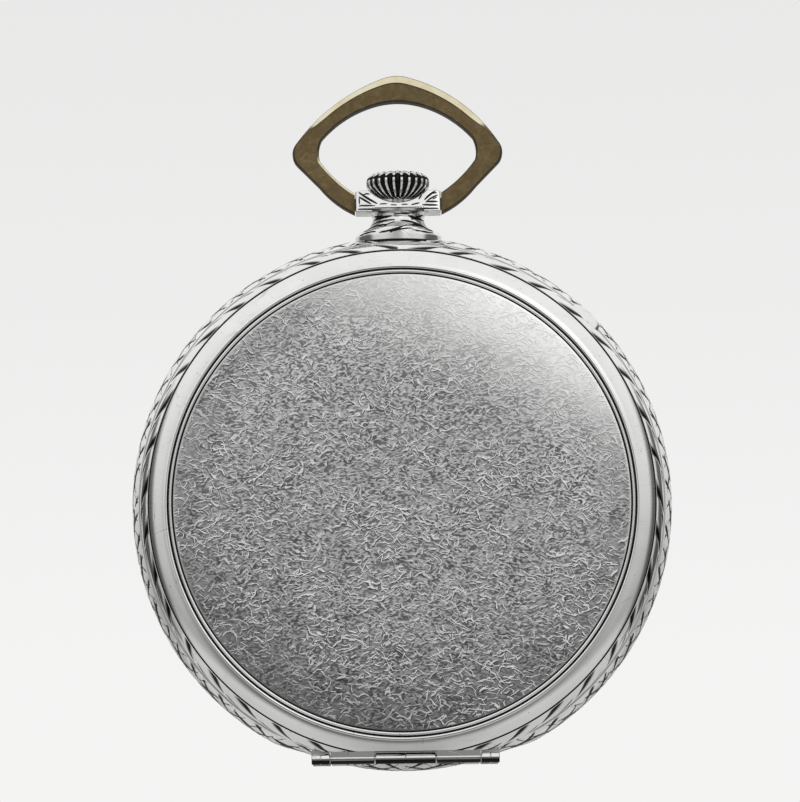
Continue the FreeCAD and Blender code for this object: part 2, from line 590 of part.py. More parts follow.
# barrel, spring and arbor
drum_low = 4.25
drum_high = 5.95
drum = size("barrel_drum")
shape = toothed(size("barrel_teeth"), size("barrel_module"), drum_low, drum_low + 0.5, phase_barrel)
shape = shape.fuse(disc(drum, drum_low + 0.25, drum_high))
shape = shape.cut(disc(drum - 0.45, drum_low + 0.3, drum_high + 1))
shape = shape.cut(disc(1.04, drum_low - 1, drum_high))
held("barrel", shape, barrel_at.x, barrel_at.z)
held("barrel_cover", tube(drum - 0.46, 0.94, drum_high - 0.25, drum_high), barrel_at.x, barrel_at.z)
turns = 9
steps = turns * 16
inner_start = 2.08
ring_in = []
ring_out = []
for number in range(steps + 1):
    angle = number * 2 * math.pi / 16
    reach = inner_start + (drum - 0.62 - inner_start) * number / steps
    ring_in.append((reach * math.cos(angle), reach * math.sin(angle)))
    ring_out.append(((reach + 0.15) * math.cos(angle), (reach + 0.15) * math.sin(angle)))
held("mainspring", prism(ring_in + ring_out[::-1], 4.62, 5.62), barrel_at.x, barrel_at.z)
shape = disc(2.0, 4.6, 5.65).fuse(disc(1.0, bridge_low + 0.02, 4.6)).fuse(disc(0.9, 5.65, plate_low + 0.95))
shape = shape.fuse(prism([(-0.62, -0.62), (0.62, -0.62), (0.62, 0.62), (-0.62, 0.62)], 2.5, bridge_low + 0.1))
shape = shape.cut(disc(0.36, 2.0, 4.0))
held("barrel_arbor", shape, barrel_at.x, barrel_at.z)

# winding wheels on the bridge
wheel_low = bridge_low - 0.04 - size("wheel_wall")
wheel_high = bridge_low - 0.04
winding = size("winding_module")
shape = toothed(size("ratchet_teeth"), winding, wheel_low, wheel_high, phase_ratchet)
shape = shape.cut(prism([(-0.63, -0.63), (0.63, -0.63), (0.63, 0.63), (-0.63, 0.63)], 0, 5))
held("ratchet_wheel", shape, barrel_at.x, barrel_at.z)
cap = disc(1.5, 2.12, wheel_low - 0.005).fuse(disc(0.35, 2.2, 3.6))
cap = cap.cut(Part.makeBox(4, 0.15, 0.22, Vector(-2, 2.1, -0.11)))
held("ratchet_screw", cap, barrel_at.x, barrel_at.z)
shape = toothed(size("crown_teeth"), winding, wheel_low, wheel_high, phase_crown_wheel)
held("crown_wheel", shape.cut(disc(1.43, 0, 5)), crown_wheel_at.x, crown_wheel_at.z)
core = disc(1.4, wheel_low - 0.02, bridge_low).fuse(disc(2.0, 2.1, wheel_low - 0.02)).fuse(disc(0.5, 2.3, 4.0))
core = core.cut(Part.makeBox(5, 0.15, 0.22, Vector(-2.5, 2.05, -0.11)))
held("crown_wheel_screw", core, crown_wheel_at.x, crown_wheel_at.z)
click_shape = prism([(0.55, -0.7), (0.5, 0.75), (-0.55, 0.9), (-1.75, 2.35), (-2.1, 2.2), (-1.2, 0.3),
                     (-0.6, -0.7)],
                    wheel_low, wheel_high)
click_shape = click_shape.cut(disc(0.43, 0, 5))
held("click", click_shape, click_at.x, click_at.z)
stud = disc(0.4, wheel_low, bridge_low + 0.6).fuse(disc(0.62, 2.2, wheel_low))
stud = stud.cut(Part.makeBox(2, 0.12, 0.16, Vector(-1, 2.15, -0.08)))
held("click_screw", stud, click_at.x, click_at.z)
bend = prism([(0.75, -3.6), (1.0, -3.6), (1.15, -1.0), (0.85, 0.9), (0.68, 0.85), (0.9, -1.0)],
             wheel_low + 0.1, wheel_high)
bend = bend.fuse(disc(0.5, wheel_low + 0.1, wheel_high, Vector(0.8, 0, -3.9))).fuse(
    disc(0.2, wheel_high - 0.2, bridge_low + 0.5, Vector(0.8, 0, -3.9)))
held("click_spring", bend.removeSplitter(), click_at.x, click_at.z)


def arbor(steps):
    """Turned arbor from (radius, low, high) steps."""
    made = None
    for radius, low, high in steps:
        part = disc(radius, low, high)
        made = made.fuse(part) if made else part
    return made


# going train: wheel, pinion and arbor of each are one piece
upper = (pivot, bridge_high - 0.28, bridge_high + 0.01)
lower = (pivot, plate_low - 0.01, plate_low + 0.28)
shape = toothed(size("centre_leaves"), size("barrel_module"), 4.22, 5.9, phase_centre_pinion, True)
wheel = toothed(size("centre_teeth"), size("centre_module"), 6.08, 6.33, phase_centre)
shape = shape.fuse(windowed(wheel, 1.6, 5.2, 5, 6, 6.4)).fuse(disc(0.8, 5.9, 6.4))
shape = shape.fuse(arbor([(0.4, bridge_high - 0.5, 4.3), (0.4, 6.3, 7.7), (0.35, 7.65, 9.0)]))
held("centre_wheel", shape)
shape = toothed(size("third_leaves"), size("centre_module"), 5.7, 6.42, phase_third_pinion, True)
wheel = toothed(size("third_teeth"), size("third_module"), 4.4, 4.62, phase_third)
shape = shape.fuse(windowed(wheel, 0.9, 3.45, 5, 4, 5)).fuse(disc(0.55, 4.3, 4.8))
shape = shape.fuse(arbor([(0.22, bridge_high + 0.01, plate_low - 0.01), upper, lower]))
held("third_wheel", shape, third_at.x, third_at.z)
shape = toothed(size("fourth_leaves"), size("third_module"), 4.25, 4.85, phase_fourth_pinion, True)
wheel = toothed(size("fourth_teeth"), size("fourth_module"), 5.3, 5.48, phase_fourth)
shape = shape.fuse(windowed(wheel, 0.8, 3.55, 5, 5, 6)).fuse(disc(0.5, 5.2, 5.6))
shape = shape.fuse(arbor([(0.22, bridge_high + 0.01, plate_low - 0.01), upper, (pivot, plate_low - 0.02, 9.06)]))
held("fourth_wheel", shape, fourth_at.x, fourth_at.z)
shape = toothed(size("escape_leaves"), size("fourth_module"), 5.05, 5.62, phase_escape_pinion, True)
points = []
tip = size("escape_radius")
count = int(size("escape_teeth"))
for number in range(count):
    at = number * 2 * math.pi / count
    pitch = 2 * math.pi / count
    for reach, share in ((tip * 0.76, -0.36), (tip * 0.8, -0.12), (tip, -0.05), (tip * 0.97, 0.09),
                         (tip * 0.76, 0.1)):
        points.append((reach * math.cos(at + share * pitch), reach * math.sin(at + share * pitch)))
shape = shape.fuse(windowed(prism(points, 5.75, 5.95), 0.7, 2.1, 4, 5, 7)).fuse(disc(0.4, 5.6, 6.05))
shape = shape.fuse(arbor([(0.18, bridge_high + 0.01, plate_low - 0.01), upper, lower]))
held("escape_wheel", shape, escape_at.x, escape_at.z)

# lever escapement
line = math.radians(size("pallet_turn"))


def beside(at, along, across):
    """Point from at, along the line to the balance staff and across it to the left."""
    return (at.x + along * math.cos(line) - across * math.sin(line),
            at.z + along * math.sin(line) + across * math.cos(line))


def local(points):
    return [beside(centre, along, across) for along, across in points]


fork = prism(local([
    (-0.95, -2.1), (-0.55, -2.25), (0.35, -0.45), (2.9, -0.22), (3.65, -0.5), (3.65, -0.24), (3.05, -0.2),
    (3.05, 0.2), (3.65, 0.24), (3.65, 0.5), (2.9, 0.22), (0.35, 0.45), (-0.55, 2.25), (-0.95, 2.1), (-0.5, 0.3),
    (-0.5, -0.3)]), 5.7, 5.95)
fork = fork.fuse(arbor([(0.2, 5.45, 6.3), (pivot, 5.2, 5.5), (pivot, 6.28, plate_low + 0.28)]))
held("pallet_fork", fork, pallet_at.x, pallet_at.z)
stones = []
for side in (-1, 1):
    corners = [(-1.42, side * 1.72), (-1.3, side * 2.0), (-0.78, side * 2.02), (-0.9, side * 1.76)]
    stones.append(prism(local(corners),
                        5.5, 5.695))
held("pallet_stones", Part.makeCompound(stones), pallet_at.x, pallet_at.z)

# balance with its screws, roller and hairspring
rim = size("balance_radius")
shape = tube(rim, rim - 0.55, 4.15, 4.9)
bar = prism([(-rim + 0.3, -0.35), (rim - 0.3, -0.35), (rim - 0.3, 0.35), (-rim + 0.3, 0.35)], 4.3, 4.6)
shape = shape.fuse(bar).fuse(disc(0.7, 4.1, 4.8))
shape = shape.fuse(arbor([(0.3, 3.6, 6.2), (pivot, 3.3, 3.7), (pivot, 6.1, plate_low + 0.28)]))
held("balance_wheel", shape, balance_at.x, balance_at.z)
pegs = []
for number in range(14):
    turn = math.radians(11 + number * 360 / 14)
    base = Vector(rim * math.cos(turn), 4.52, rim * math.sin(turn))
    pegs.append(Part.makeCylinder(0.22, 0.42, base, Vector(math.cos(turn), 0, math.sin(turn))))
held("balance_screws", Part.makeCompound(pegs), balance_at.x, balance_at.z)
shape = tube(1.3, 0.3, 5.3, 5.48)
jewel_at = beside(centre, -1.05, 0)
jewel = disc(0.14, 5.48, 5.66, Vector(jewel_at[0], 0, jewel_at[1]))
held("roller", Part.makeCompound([shape, jewel]), balance_at.x, balance_at.z)
coil_in = []
coil_out = []
for number in range(11 * 16 + 1):
    angle = number * 2 * math.pi / 16
    reach = 0.75 + 2.6 * number / (11 * 16)
    coil_in.append((reach * math.cos(angle), reach * math.sin(angle)))
    coil_out.append(((reach + 0.06) * math.cos(angle), (reach + 0.06) * math.sin(angle)))
coil = prism(coil_in + coil_out[::-1], 3.66, 3.84).fuse(tube(0.76, 0.3, 3.62, 3.9))
held("hairspring", coil, balance_at.x, balance_at.z)
stud = disc(0.3, 3.3, 3.62).fuse(disc(0.16, 3.6, 3.86))
held("hairspring_stud", stud, balance_at.x + 3.72, balance_at.z)


def at_point(point):
    return ("%.4f" % point.x, "%.4f" % point.z)


def hole(owner, point, radius, low, high):
    slab(owner, [("round",) + at_point(point) + (radius,)], low, high, cut=True)


def ring_point(degrees, radius):
    return towards(centre, degrees, radius)


barrel_screws = [ring_point(a, 19.15) for a in (-8, 52, 106)]
train_screws = [ring_point(a, 18.3) for a in (-48, -96)]
cock_screws = [ring_point(205, 18.9)]
case_screw_spots = [ring_point(a, 19.6) for a in (150, -25.5)]
foot_spots = [ring_point(a, 18.2) for a in (20, 160, 270)]
pallet_foot = Vector(-10.6, 0, -12.4)
keyless_screws = [Vector(-3.2, 0, 13.2), Vector(3.3, 0, 11.4)]

# mainplate with its recesses, stem bearings and studs
plate = newBody("mainplate")
turned(plate, [
    ("0", "plate_back"), ("plate_radius", "plate_back"), ("plate_radius", "plate_front-0.55"),
    ("plate_flange", "plate_front-0.55"), ("plate_flange", "dial_back"), ("plate_flange-1.3", "dial_back"),
    ("plate_flange-1.3", "plate_front"), ("0", "plate_front"),
])
slab(plate, [("round", "0", "0", "4.2")], "plate_recess", "plate_front", cut=True)
slab(plate, [("round", "0", "11.2", "8.5")], "plate_recess", "plate_front", cut=True)
hole(plate, minute_at, "3.6", "plate_recess", "plate_front")
slab(plate, [box("-1.7", "1.7", "18.5", "19.9")], "4.2", "plate_back+0.2")
slab(plate, [box("-1.4", "0.5", "12.2", "13.85")], "4.9", "plate_back+0.2")
slab(plate, [("round", "0", "stem_level", "stem_radius+fit")], "17", "22", cut=True, role="XY_Plane")
slab(plate, [("round", "0", "stem_level", "stem_radius/2+fit")], "11.9", "14", cut=True, role="XY_Plane")
slab(plate, [box("-2", "2", "13.9", "16.3")], "plate_back", "plate_front", cut=True)
slab(plate, [box("-2.9", "2.9", "16.1", "17.6")], "plate_back", "plate_front", cut=True)
slab(plate, [box("-0.5", "0.5", "17.5", "19.3")], "stem_level+0.1", "plate_front", cut=True)
for point in (third_at, escape_at, pallet_at, balance_at, fourth_at):
    hole(plate, point, "jewel_radius", "plate_back", "plate_back+jewel_wall")
    hole(plate, point, "0.3", "plate_back", "plate_front")
hole(plate, centre, "0.4+fit", "plate_back", "plate_front")
hole(plate, barrel_at, "0.9+fit", "plate_back", "plate_back+1")
for point in barrel_screws + train_screws + cock_screws + [pallet_foot]:
    hole(plate, point, "screw_radius", "plate_back", "plate_back+0.9")
for point in case_screw_spots:
    hole(plate, point, "0.5", "plate_back", "plate_back+1.4")
for point in foot_spots:
    hole(plate, point, "0.4", "plate_back+0.6", "dial_back")
for point, top in ((setting_at, "7.38"), (setting_two_at, "7.38"), (minute_at, "7.9")):
    slab(plate, [("round",) + at_point(point) + ("0.4",)], "plate_recess-0.1", top)
for point in (yoke_at, lever_at):
    slab(plate, [("round",) + at_point(point) + ("0.3",)], "plate_recess-0.1", "7.82")
for point in keyless_screws:
    slab(plate, [("round",) + at_point(point) + ("0.55",)], "plate_recess-0.1", "7.85")
    hole(plate, point, "0.25", "plate_recess", "plate_front")

# bridges: flat plates with feet on the mainplate
bridge = newBody("barrel_bridge")
slab(bridge, [[
    polar("bridge_radius", -18), polar("bridge_radius", 47) + ("via",), polar("bridge_radius", 112),
    ("-4.4", "12.5"), ("-2.7", "3.4"), ("-1.7", "-1.7"), ("1.8", "-2.3"), ("9.4", "-5.2"),
]], "bridge_back", "bridge_back+bridge_wall")
for start, end in ((-17, 83.5), (97, 111)):
    slab(bridge, [sector("18.25", "bridge_radius", start, end)], "bridge_back+bridge_wall-0.1", "plate_back")
slab(bridge, [box("-2.9", "2.9", "16.1", "17.6")], "0", "plate_back", cut=True)
slab(bridge, [box("-2", "2", "13.9", "16.4")], "stem_level-clutch_radius-0.1", "plate_back", cut=True)
hole(bridge, centre, "0.4+fit", "bridge_back+0.55", "bridge_back+bridge_wall")
hole(bridge, barrel_at, "1+fit", "0", "plate_back")
hole(bridge, crown_wheel_at, "0.5", "0", "plate_back")
for point in (click_at, click_at + Vector(0.8, 0, -3.9)):
    hole(bridge, point, "0.4", "0", "plate_back")
for point in barrel_screws:
    hole(bridge, point, "screw_radius", "0", "plate_back")

bridge = newBody("train_bridge")
slab(bridge, [[
    polar("bridge_radius", -33), polar("bridge_radius", -72) + ("via",), polar("bridge_radius", -111),
    ("-6.3", "-13.3"), ("-5.3", "-11.3"), ("-4.4", "-9.9"), ("-1.3", "-7.5"), ("1.2", "-4.6"),
    ("3.6", "-4.4"), ("9.3", "-7.4"),
]], "bridge_back", "bridge_back+bridge_wall")
slab(bridge, [sector("16.8", "bridge_radius", -110, -34)], "bridge_back+bridge_wall-0.1", "plate_back")
for point in (third_at, fourth_at, escape_at):
    hole(bridge, point, "jewel_radius", "0", "plate_back")
for point in train_screws:
    hole(bridge, point, "screw_radius", "0", "plate_back")

cock = newBody("balance_cock")
slab(cock, [[
    polar("bridge_radius", 187), polar("bridge_radius", 206) + ("via",), polar("bridge_radius", 225),
    polar("17.8", 222), ("%.3f" % (balance_at.x - 0.3), "%.3f" % (balance_at.z - 1.9)),
    ("%.3f" % (balance_at.x + 1.9), "%.3f" % (balance_at.z + 0.3), "via"),
    ("%.3f" % (balance_at.x - 0.6), "%.3f" % (balance_at.z + 1.8)), polar("17.8", 189),
]], "cock_back", "cock_back+cock_wall")
slab(cock, [sector("17.85", "bridge_radius", 188, 224)], "cock_back+cock_wall-0.1", "plate_back")
hole(cock, balance_at, "jewel_radius", "0", "4")
for point in cock_screws:
    hole(cock, point, "screw_radius", "0", "plate_back")
slab(cock, [[
    ("%.3f" % (balance_at.x + 1.2), "%.3f" % (balance_at.z - 0.5)),
    ("%.3f" % (balance_at.x + 4.1), "%.3f" % (balance_at.z - 0.4)),
    ("%.3f" % (balance_at.x + 4.1), "%.3f" % (balance_at.z + 0.4)),
    ("%.3f" % (balance_at.x + 1.2), "%.3f" % (balance_at.z + 0.5)),
]], "cock_back+0.4", "cock_back+1")

small = newBody("pallet_cock")
px, pz = at_point(pallet_at)
fx, fz = at_point(pallet_foot)
slab(small, [[
    (px + "+0.6", pz + "-0.45"), (px + "+0.55", pz + "+0.55", "via"), (px + "-0.5", pz + "+0.6"),
    (fx + "-0.8", fz + "+0.6"), (fx + "-0.6", fz + "-0.9", "via"), (fx + "+0.9", fz + "-0.6"),
]], "5.05", "5.45")
slab(small, [("round", fx, fz, "0.85")], "5.4", "plate_back")
hole(small, pallet_at, "jewel_radius-0.15", "5", "6")
hole(small, pallet_foot, "screw_radius", "5", "plate_back")

# rubies
rings = []
for point in (third_at, fourth_at, escape_at):
    rings.append(tube(ruby, size("jewel_hole"), bridge_high - ruby_wall, bridge_high, point))
for point in (third_at, fourth_at, escape_at, pallet_at, balance_at):
    rings.append(tube(ruby, size("jewel_hole"), plate_low, plate_low + ruby_wall, point))
cock_top = size("cock_back+cock_wall")
rings.append(tube(ruby, size("jewel_hole"), cock_top - ruby_wall, cock_top, balance_at))
rings.append(tube(ruby - 0.15, size("jewel_hole"), 5.15, 5.45, pallet_at))
held("jewels", Part.makeCompound(rings))
# regulator lever on the cock
arm = tube(1.5, 0.62, size("cock_back") - 0.3, size("cock_back") - 0.02)
cock_low = size("cock_back")
arm = arm.fuse(prism([(-1.2, -0.3), (-1.2, 0.3), (-4.6, 0.12), (-4.6, -0.12)], cock_low - 0.3, cock_low - 0.02))
arm = arm.fuse(prism([(1.2, -0.3), (1.2, 0.3), (2.3, 0.25), (2.3, -0.25)], cock_low - 0.3, cock_low - 0.02))
held("regulator", arm, balance_at.x, balance_at.z)


def screws(spots, head, shank, top, under, end, slot=0.22):
    made = []
    for point in spots:
        one = disc(head, top, under, point).fuse(disc(shank, under, end, point))
        turn = 37 * (len(made) + 1)
        groove = Part.makeBox(3 * head, 0.15, slot, Vector(-1.5 * head, top - 0.01, -slot / 2))
        groove.rotate(Vector(), Vector(0, 1, 0), turn)
        groove.translate(Vector(point.x, 0, point.z))
        made.append(one.cut(groove))
    return made


bolt = size("screw_radius")
plate_end = plate_low + 0.85
cock_top = size("cock_back")
group = screws(barrel_screws, 0.85, bolt, bridge_low - 0.35, bridge_low, plate_end)
group += screws(train_screws, 0.9, bolt, bridge_low - 0.35, bridge_low, plate_end)
group += screws(cock_screws, 0.9, bolt, cock_top - 0.35, cock_top, plate_end)
group += screws([pallet_foot], 0.7, bolt, 4.75, 5.05, plate_end)
for one in screws(keyless_screws, 0.5, 0.25, plate_high - 0.3, plate_high, plate_high + 0.8):
    group.append(one.mirror(Vector(0, plate_high, 0), Vector(0, 1, 0)))
held("movement_screws", Part.makeCompound(group))
held("case_screws", Part.makeCompound(
    screws(case_screw_spots, 1.4, 0.5, plate_low - 0.5, plate_low - 0.01, plate_low + 1.3, 0.3)))

# winding and setting work
level = size("stem_level")


def upright(shape):
    """Turn a shape made along Y so that it stands along Z on the stem's axis."""
    turned_shape = shape.copy()
    turned_shape.rotate(Vector(), Vector(1, 0, 0), 90)
    turned_shape.translate(Vector(0, level, 0))
    return turned_shape


share = (math.pi / 2 - phase_crown_wheel) * size("crown_teeth") / (2 * math.pi)
phase_pinion = math.pi / 2 - (share + 0.5) * 2 * math.pi / size("pinion_teeth")
shape = toothed(size("pinion_teeth"), winding, size("pinion_low"), size("pinion_high"), phase_pinion)
held("winding_pinion", upright(shape.cut(disc(size("stem_radius+fit"), 0, 30))))
groove_mid = size("yoke_height")
shape = disc(size("clutch_radius"), size("clutch_low"), size("clutch_high"))
shape = shape.cut(tube(3, 1.35, groove_mid - 0.22, groove_mid + 0.22))
shape = shape.cut(prism([(-0.45, -0.45), (0.45, -0.45), (0.45, 0.45), (-0.45, 0.45)], 10, 20))
held("clutch", upright(shape))
stem = size("stem_radius")
slot_at = size("groove_height")
square = prism([(-0.42, -0.42), (0.42, -0.42), (0.42, 0.42), (-0.42, 0.42)], 14.2, 16.28)
shape = disc(0.3, 12.4, 14.3).fuse(square)
shape = shape.fuse(disc(stem, 16.28, slot_at - 0.3)).fuse(disc(0.34, slot_at - 0.35, slot_at + 0.35))
shape = shape.fuse(disc(stem, slot_at + 0.3, size("crown_low") + 1))
held("winding_stem", upright(shape))
crown_body = newBody("crown", y="stem_level")
turned(crown_body, [
    ("0", "crown_low"), ("1.2", "crown_low"), ("2", "crown_low+0.65"),
    ("crown_radius-0.15", "crown_low+1", "via"),
    ("crown_radius", "crown_low+1.5"), ("crown_radius-0.05", "crown_low+1.9", "via"),
    ("crown_radius-0.45", "crown_high-0.3"), ("1.8", "crown_high-0.06", "via"), ("0.8", "crown_high"),
    ("0", "crown_high"),
], role="XZ_Plane")
slab(crown_body, [("round", "0", "0", "stem_radius")], "crown_low-1", "crown_low+1", cut=True, role="XY_Plane")
pick = slab(crown_body, [("round", "crown_radius+0.16", "0", "0.3")], "crown_low-0.1", "crown_high+0.1",
            cut=True, role="XY_Plane")
doc.recompute()
fluted = crown_body.newObject("PartDesign::PolarPattern", "crown_flute_ring")
fluted.Originals = [pick]
fluted.Axis = (plane(crown_body, "Z_Axis"), [""])
fluted.Angle = 360
fluted.setExpression("Occurrences", bound("crown_flutes"))
crown_body.Tip = fluted

mod = size("setting_module")
held("setting_wheel_one", toothed(size("setting_teeth"), mod, 7.0, 7.35, phase_one).cut(disc(0.43, 0, 9)),
     setting_at.x, setting_at.z)
held("setting_wheel_two", toothed(size("setting_teeth_two"), mod, 7.0, 7.35, phase_two).cut(disc(0.43, 0, 9)),
     setting_two_at.x, setting_two_at.z)
shape = toothed(size("minute_teeth"), mod, 7.0, 7.35, phase_minute)
shape = shape.fuse(toothed(size("minute_leaves"), hour_module, 7.35, 7.83, phase_minute_pinion, True))
held("minute_wheel", shape.cut(disc(0.43, 0, 9)), minute_at.x, minute_at.z)
shape = toothed(size("cannon_leaves"), mod, 7.0, 7.38, phase_cannon, True).fuse(disc(0.68, 7.3, 9.56))
held("cannon_pinion", shape.cut(disc(0.42, 0, 7.66)).cut(disc(0.38, 0, 9.1)))
shape = toothed(size("hour_teeth"), hour_module, 7.47, 7.75, phase_hour).fuse(disc(0.98, 7.47, 9.26))
held("hour_wheel", shape.cut(disc(0.72, 0, 12)))
shape = prism([(0.1, -0.42), (0.75, -0.3), (0.75, 0.3), (0.1, 0.42), (-3.85, 0.32), (-3.85, -0.32)], 7.45, 7.78)
shape = shape.fuse(disc(0.62, 7.45, 7.78)).cut(disc(0.33, 0, 9))
shape = shape.fuse(disc(0.22, 5.8, 7.5, Vector(-size("lever_arm"), 0, 0)))
held("setting_lever", shape, lever_at.x, lever_at.z)
shape = prism([(-0.2, 0.45), (-1.5, 0.1), (-2.9, -1.6), (-2.6, -1.9), (-0.9, -0.55), (0, -0.45), (4.75, -0.28),
               (4.75, 0.28)], 7.4, 7.7)
shape = shape.fuse(disc(0.62, 7.4, 7.7)).cut(disc(0.33, 0, 9))
shape = shape.fuse(disc(0.18, 6.82, 7.5, Vector(size("yoke_arm"), 0, 0)))
held("yoke", shape, yoke_at.x, yoke_at.z)
shape = prism([(-7.3, 9.2), (-6.9, 9.2), (-7.15, 11.8), (-7.45, 13.55), (-7.6, 13.5), (-7.5, 11.8)], 7.1, 7.35)
shape = shape.fuse(disc(0.45, plate_low + 0.45, 7.35, Vector(-7.0, 0, 8.9)))
held("yoke_spring", shape)
keyless = newBody("keyless_bridge")
slab(keyless, [[
    ("-6.3", "16.0"), ("-3.2", "16.0"), ("-2.2", "14.2"), ("2.0", "13.6"), ("4.1", "12.4"), ("4.1", "10.6"),
    ("0.5", "10.2"),
    ("-2.4", "7.2"), ("-4.6", "7.2"), ("-6.4", "11.0"),
]], "7.85", "8.1")
for point in keyless_screws:
    hole(keyless, point, "0.25", "7", "9")

# dial, seconds dial and hands
seconds_x, seconds_z = "fourth_x", "fourth_z"
face = newBody("dial")
slab(face, [("round", "0", "0", "dial_radius")], "dial_back", "dial_back+dial_wall")
slab(face, [("round", "0", "0", "1.3")], "dial_back", "dial_back+dial_wall", cut=True)
slab(face, [("round", seconds_x, seconds_z, "seconds_dial_radius")],
     "dial_back", "dial_back+dial_wall", cut=True)
face = newBody("seconds_dial")
slab(face, [("round", seconds_x, seconds_z, "seconds_dial_radius")], "dial_back", "dial_back+0.25")
slab(face, [("round", seconds_x, seconds_z, "0.35")], "dial_back", "dial_back+0.25", cut=True)
feet = [disc(0.4, plate_low + 0.8, size("dial_back"), point) for point in foot_spots]
held("dial_feet", Part.makeCompound(feet))


def hand(outline, low, high, degrees, hub, bore):
    """Hand pointing degrees clockwise from twelve as the dial is read."""
    made = prism(outline, low, high).fuse(disc(hub, low, high)).cut(disc(bore, low - 1, high + 1))
    made.rotate(Vector(), Vector(0, 1, 0), -degrees)
    return made


reach = size("hour_hand")
outline = [(-0.32, -1.2), (0.32, -1.2), (0.28, reach * 0.5), (0.95, reach * 0.62), (1.15, reach * 0.72),
           (0.8, reach * 0.82), (0.2, reach * 0.88), (0, reach), (-0.2, reach * 0.88), (-0.8, reach * 0.82),
           (-1.15, reach * 0.72), (-0.95, reach * 0.62), (-0.28, reach * 0.5)]
held("hour_hand", hand(outline, 9.1, 9.25, 304.5, 1.5, 0.98))
reach = size("minute_hand")
outline = [(-0.3, -1.6), (0.3, -1.6), (0.24, reach * 0.58), (0.7, reach * 0.66), (0.85, reach * 0.72),
           (0.6, reach * 0.78), (0.16, reach * 0.83), (0, reach), (-0.16, reach * 0.83), (-0.6, reach * 0.78),
           (-0.85, reach * 0.72), (-0.7, reach * 0.66), (-0.24, reach * 0.58)]
held("minute_hand", hand(outline, 9.38, 9.53, 54.0, 1.15, 0.68))
reach = size("seconds_hand")
outline = [(-0.12, -1.3), (0.12, -1.3), (0.04, reach), (-0.04, reach)]
held("seconds_hand", hand(outline, 8.93, 9.04, 132.0, 0.4, 0.12), fourth_at.x, fourth_at.z)

doc.recompute()
helpers = ("pendant_blank", "band_blank")
kinds = ("PartDesign::Body", "Part::Feature", "Part::Cylinder", "Part::Cut")
for thing in doc.Objects:
    if any(mark in thing.State for mark in ("Invalid", "Error")):
        raise RuntimeError("%s did not rebuild" % thing.Label)
nodes = [thing for thing in doc.Objects if thing.TypeId in kinds and thing.Label not in helpers]
nodes = [thing for thing in nodes if not thing.getParentGeoFeatureGroup()]
os.makedirs("parts", exist_ok=True)
for node in nodes:
    if node.Shape.isNull() or not node.Shape.isValid():
        raise RuntimeError("%s has no sound shape" % node.Label)
for node in nodes:
    node.Shape.exportStep("parts/%s.step" % node.Label)
print("nodes written:", len(nodes))
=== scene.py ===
import math

import bmesh
import bpy
import numpy as np
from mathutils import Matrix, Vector


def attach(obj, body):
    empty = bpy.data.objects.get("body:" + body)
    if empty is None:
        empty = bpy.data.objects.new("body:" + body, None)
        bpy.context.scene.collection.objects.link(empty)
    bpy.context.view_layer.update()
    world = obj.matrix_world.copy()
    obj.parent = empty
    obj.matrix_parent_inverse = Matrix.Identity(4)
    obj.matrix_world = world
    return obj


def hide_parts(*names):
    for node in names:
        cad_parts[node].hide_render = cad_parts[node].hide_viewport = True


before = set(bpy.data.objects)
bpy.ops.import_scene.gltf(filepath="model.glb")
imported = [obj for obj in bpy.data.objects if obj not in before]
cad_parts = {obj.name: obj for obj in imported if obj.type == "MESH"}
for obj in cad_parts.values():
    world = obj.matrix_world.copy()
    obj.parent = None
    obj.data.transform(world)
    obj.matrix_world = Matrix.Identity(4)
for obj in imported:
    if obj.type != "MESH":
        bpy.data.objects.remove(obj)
for spareName in ("Cube", "Light", "Camera"):
    spare = bpy.data.objects.get(spareName)
    if spare:
        bpy.data.objects.remove(spare, do_unlink=True)
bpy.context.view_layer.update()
print("frame loaded")

# pieces are made in millimetres; makePiece turns them into metres
mm = 0.001
stemLevel = 5.4


def addObject(name, data):
    made = bpy.data.objects.new(name, data)
    bpy.context.scene.collection.objects.link(made)
    return made


def arcThrough(start, middle, end, count):
    # points on the circle through three points, without the first one
    ax, ay = start
    bx, by = middle
    cx, cy = end
    d = 2 * (ax * (by - cy) + bx * (cy - ay) + cx * (ay - by))
    a2, b2, c2 = ax * ax + ay * ay, bx * bx + by * by, cx * cx + cy * cy
    ux = (a2 * (by - cy) + b2 * (cy - ay) + c2 * (ay - by)) / d
    uy = (a2 * (cx - bx) + b2 * (ax - cx) + c2 * (bx - ax)) / d
    radius = math.hypot(ax - ux, ay - uy)
    first = math.atan2(ay - uy, ax - ux)
    mid = (math.atan2(by - uy, bx - ux) - first) % (2 * math.pi)
    last = (math.atan2(cy - uy, cx - ux) - first) % (2 * math.pi)
    if mid > last:
        last -= 2 * math.pi
    steps = np.linspace(0, last, count + 1)[1:]
    return [(ux + radius * math.cos(first + s), uy + radius * math.sin(first + s)) for s in steps]


def outline(points, reach=None):
    # plain corners, and arcs whose middle point carries a third entry; reach splits long straight runs
    made = [tuple(points[0][:2])]
    index = 1
    while index < len(points):
        if len(points[index]) == 3:
            count = points[index][2]
            made += arcThrough(made[-1], points[index][:2], points[index + 1][:2], count)
            index += 2
            continue
        here, there = np.array(made[-1]), np.array(points[index][:2])
        parts = max(1, math.ceil(np.linalg.norm(there - here) / reach)) if reach else 1
        made += [tuple(here + (there - here) * k / parts) for k in range(1, parts + 1)]
        index += 1
    return np.array(made)


def gridFaces(rows, columns, wrapRows=False, wrapColumns=True):
    # quads over a rows by columns net of points numbered row by row
    faces = []
    for row in range(rows if wrapRows else rows - 1):
        for column in range(columns if wrapColumns else columns - 1):
            nextRow = (row + 1) % rows
            nextColumn = (column + 1) % columns
            faces.append((row * columns + column, row * columns + nextColumn,
                          nextRow * columns + nextColumn, nextRow * columns + column))
    return faces


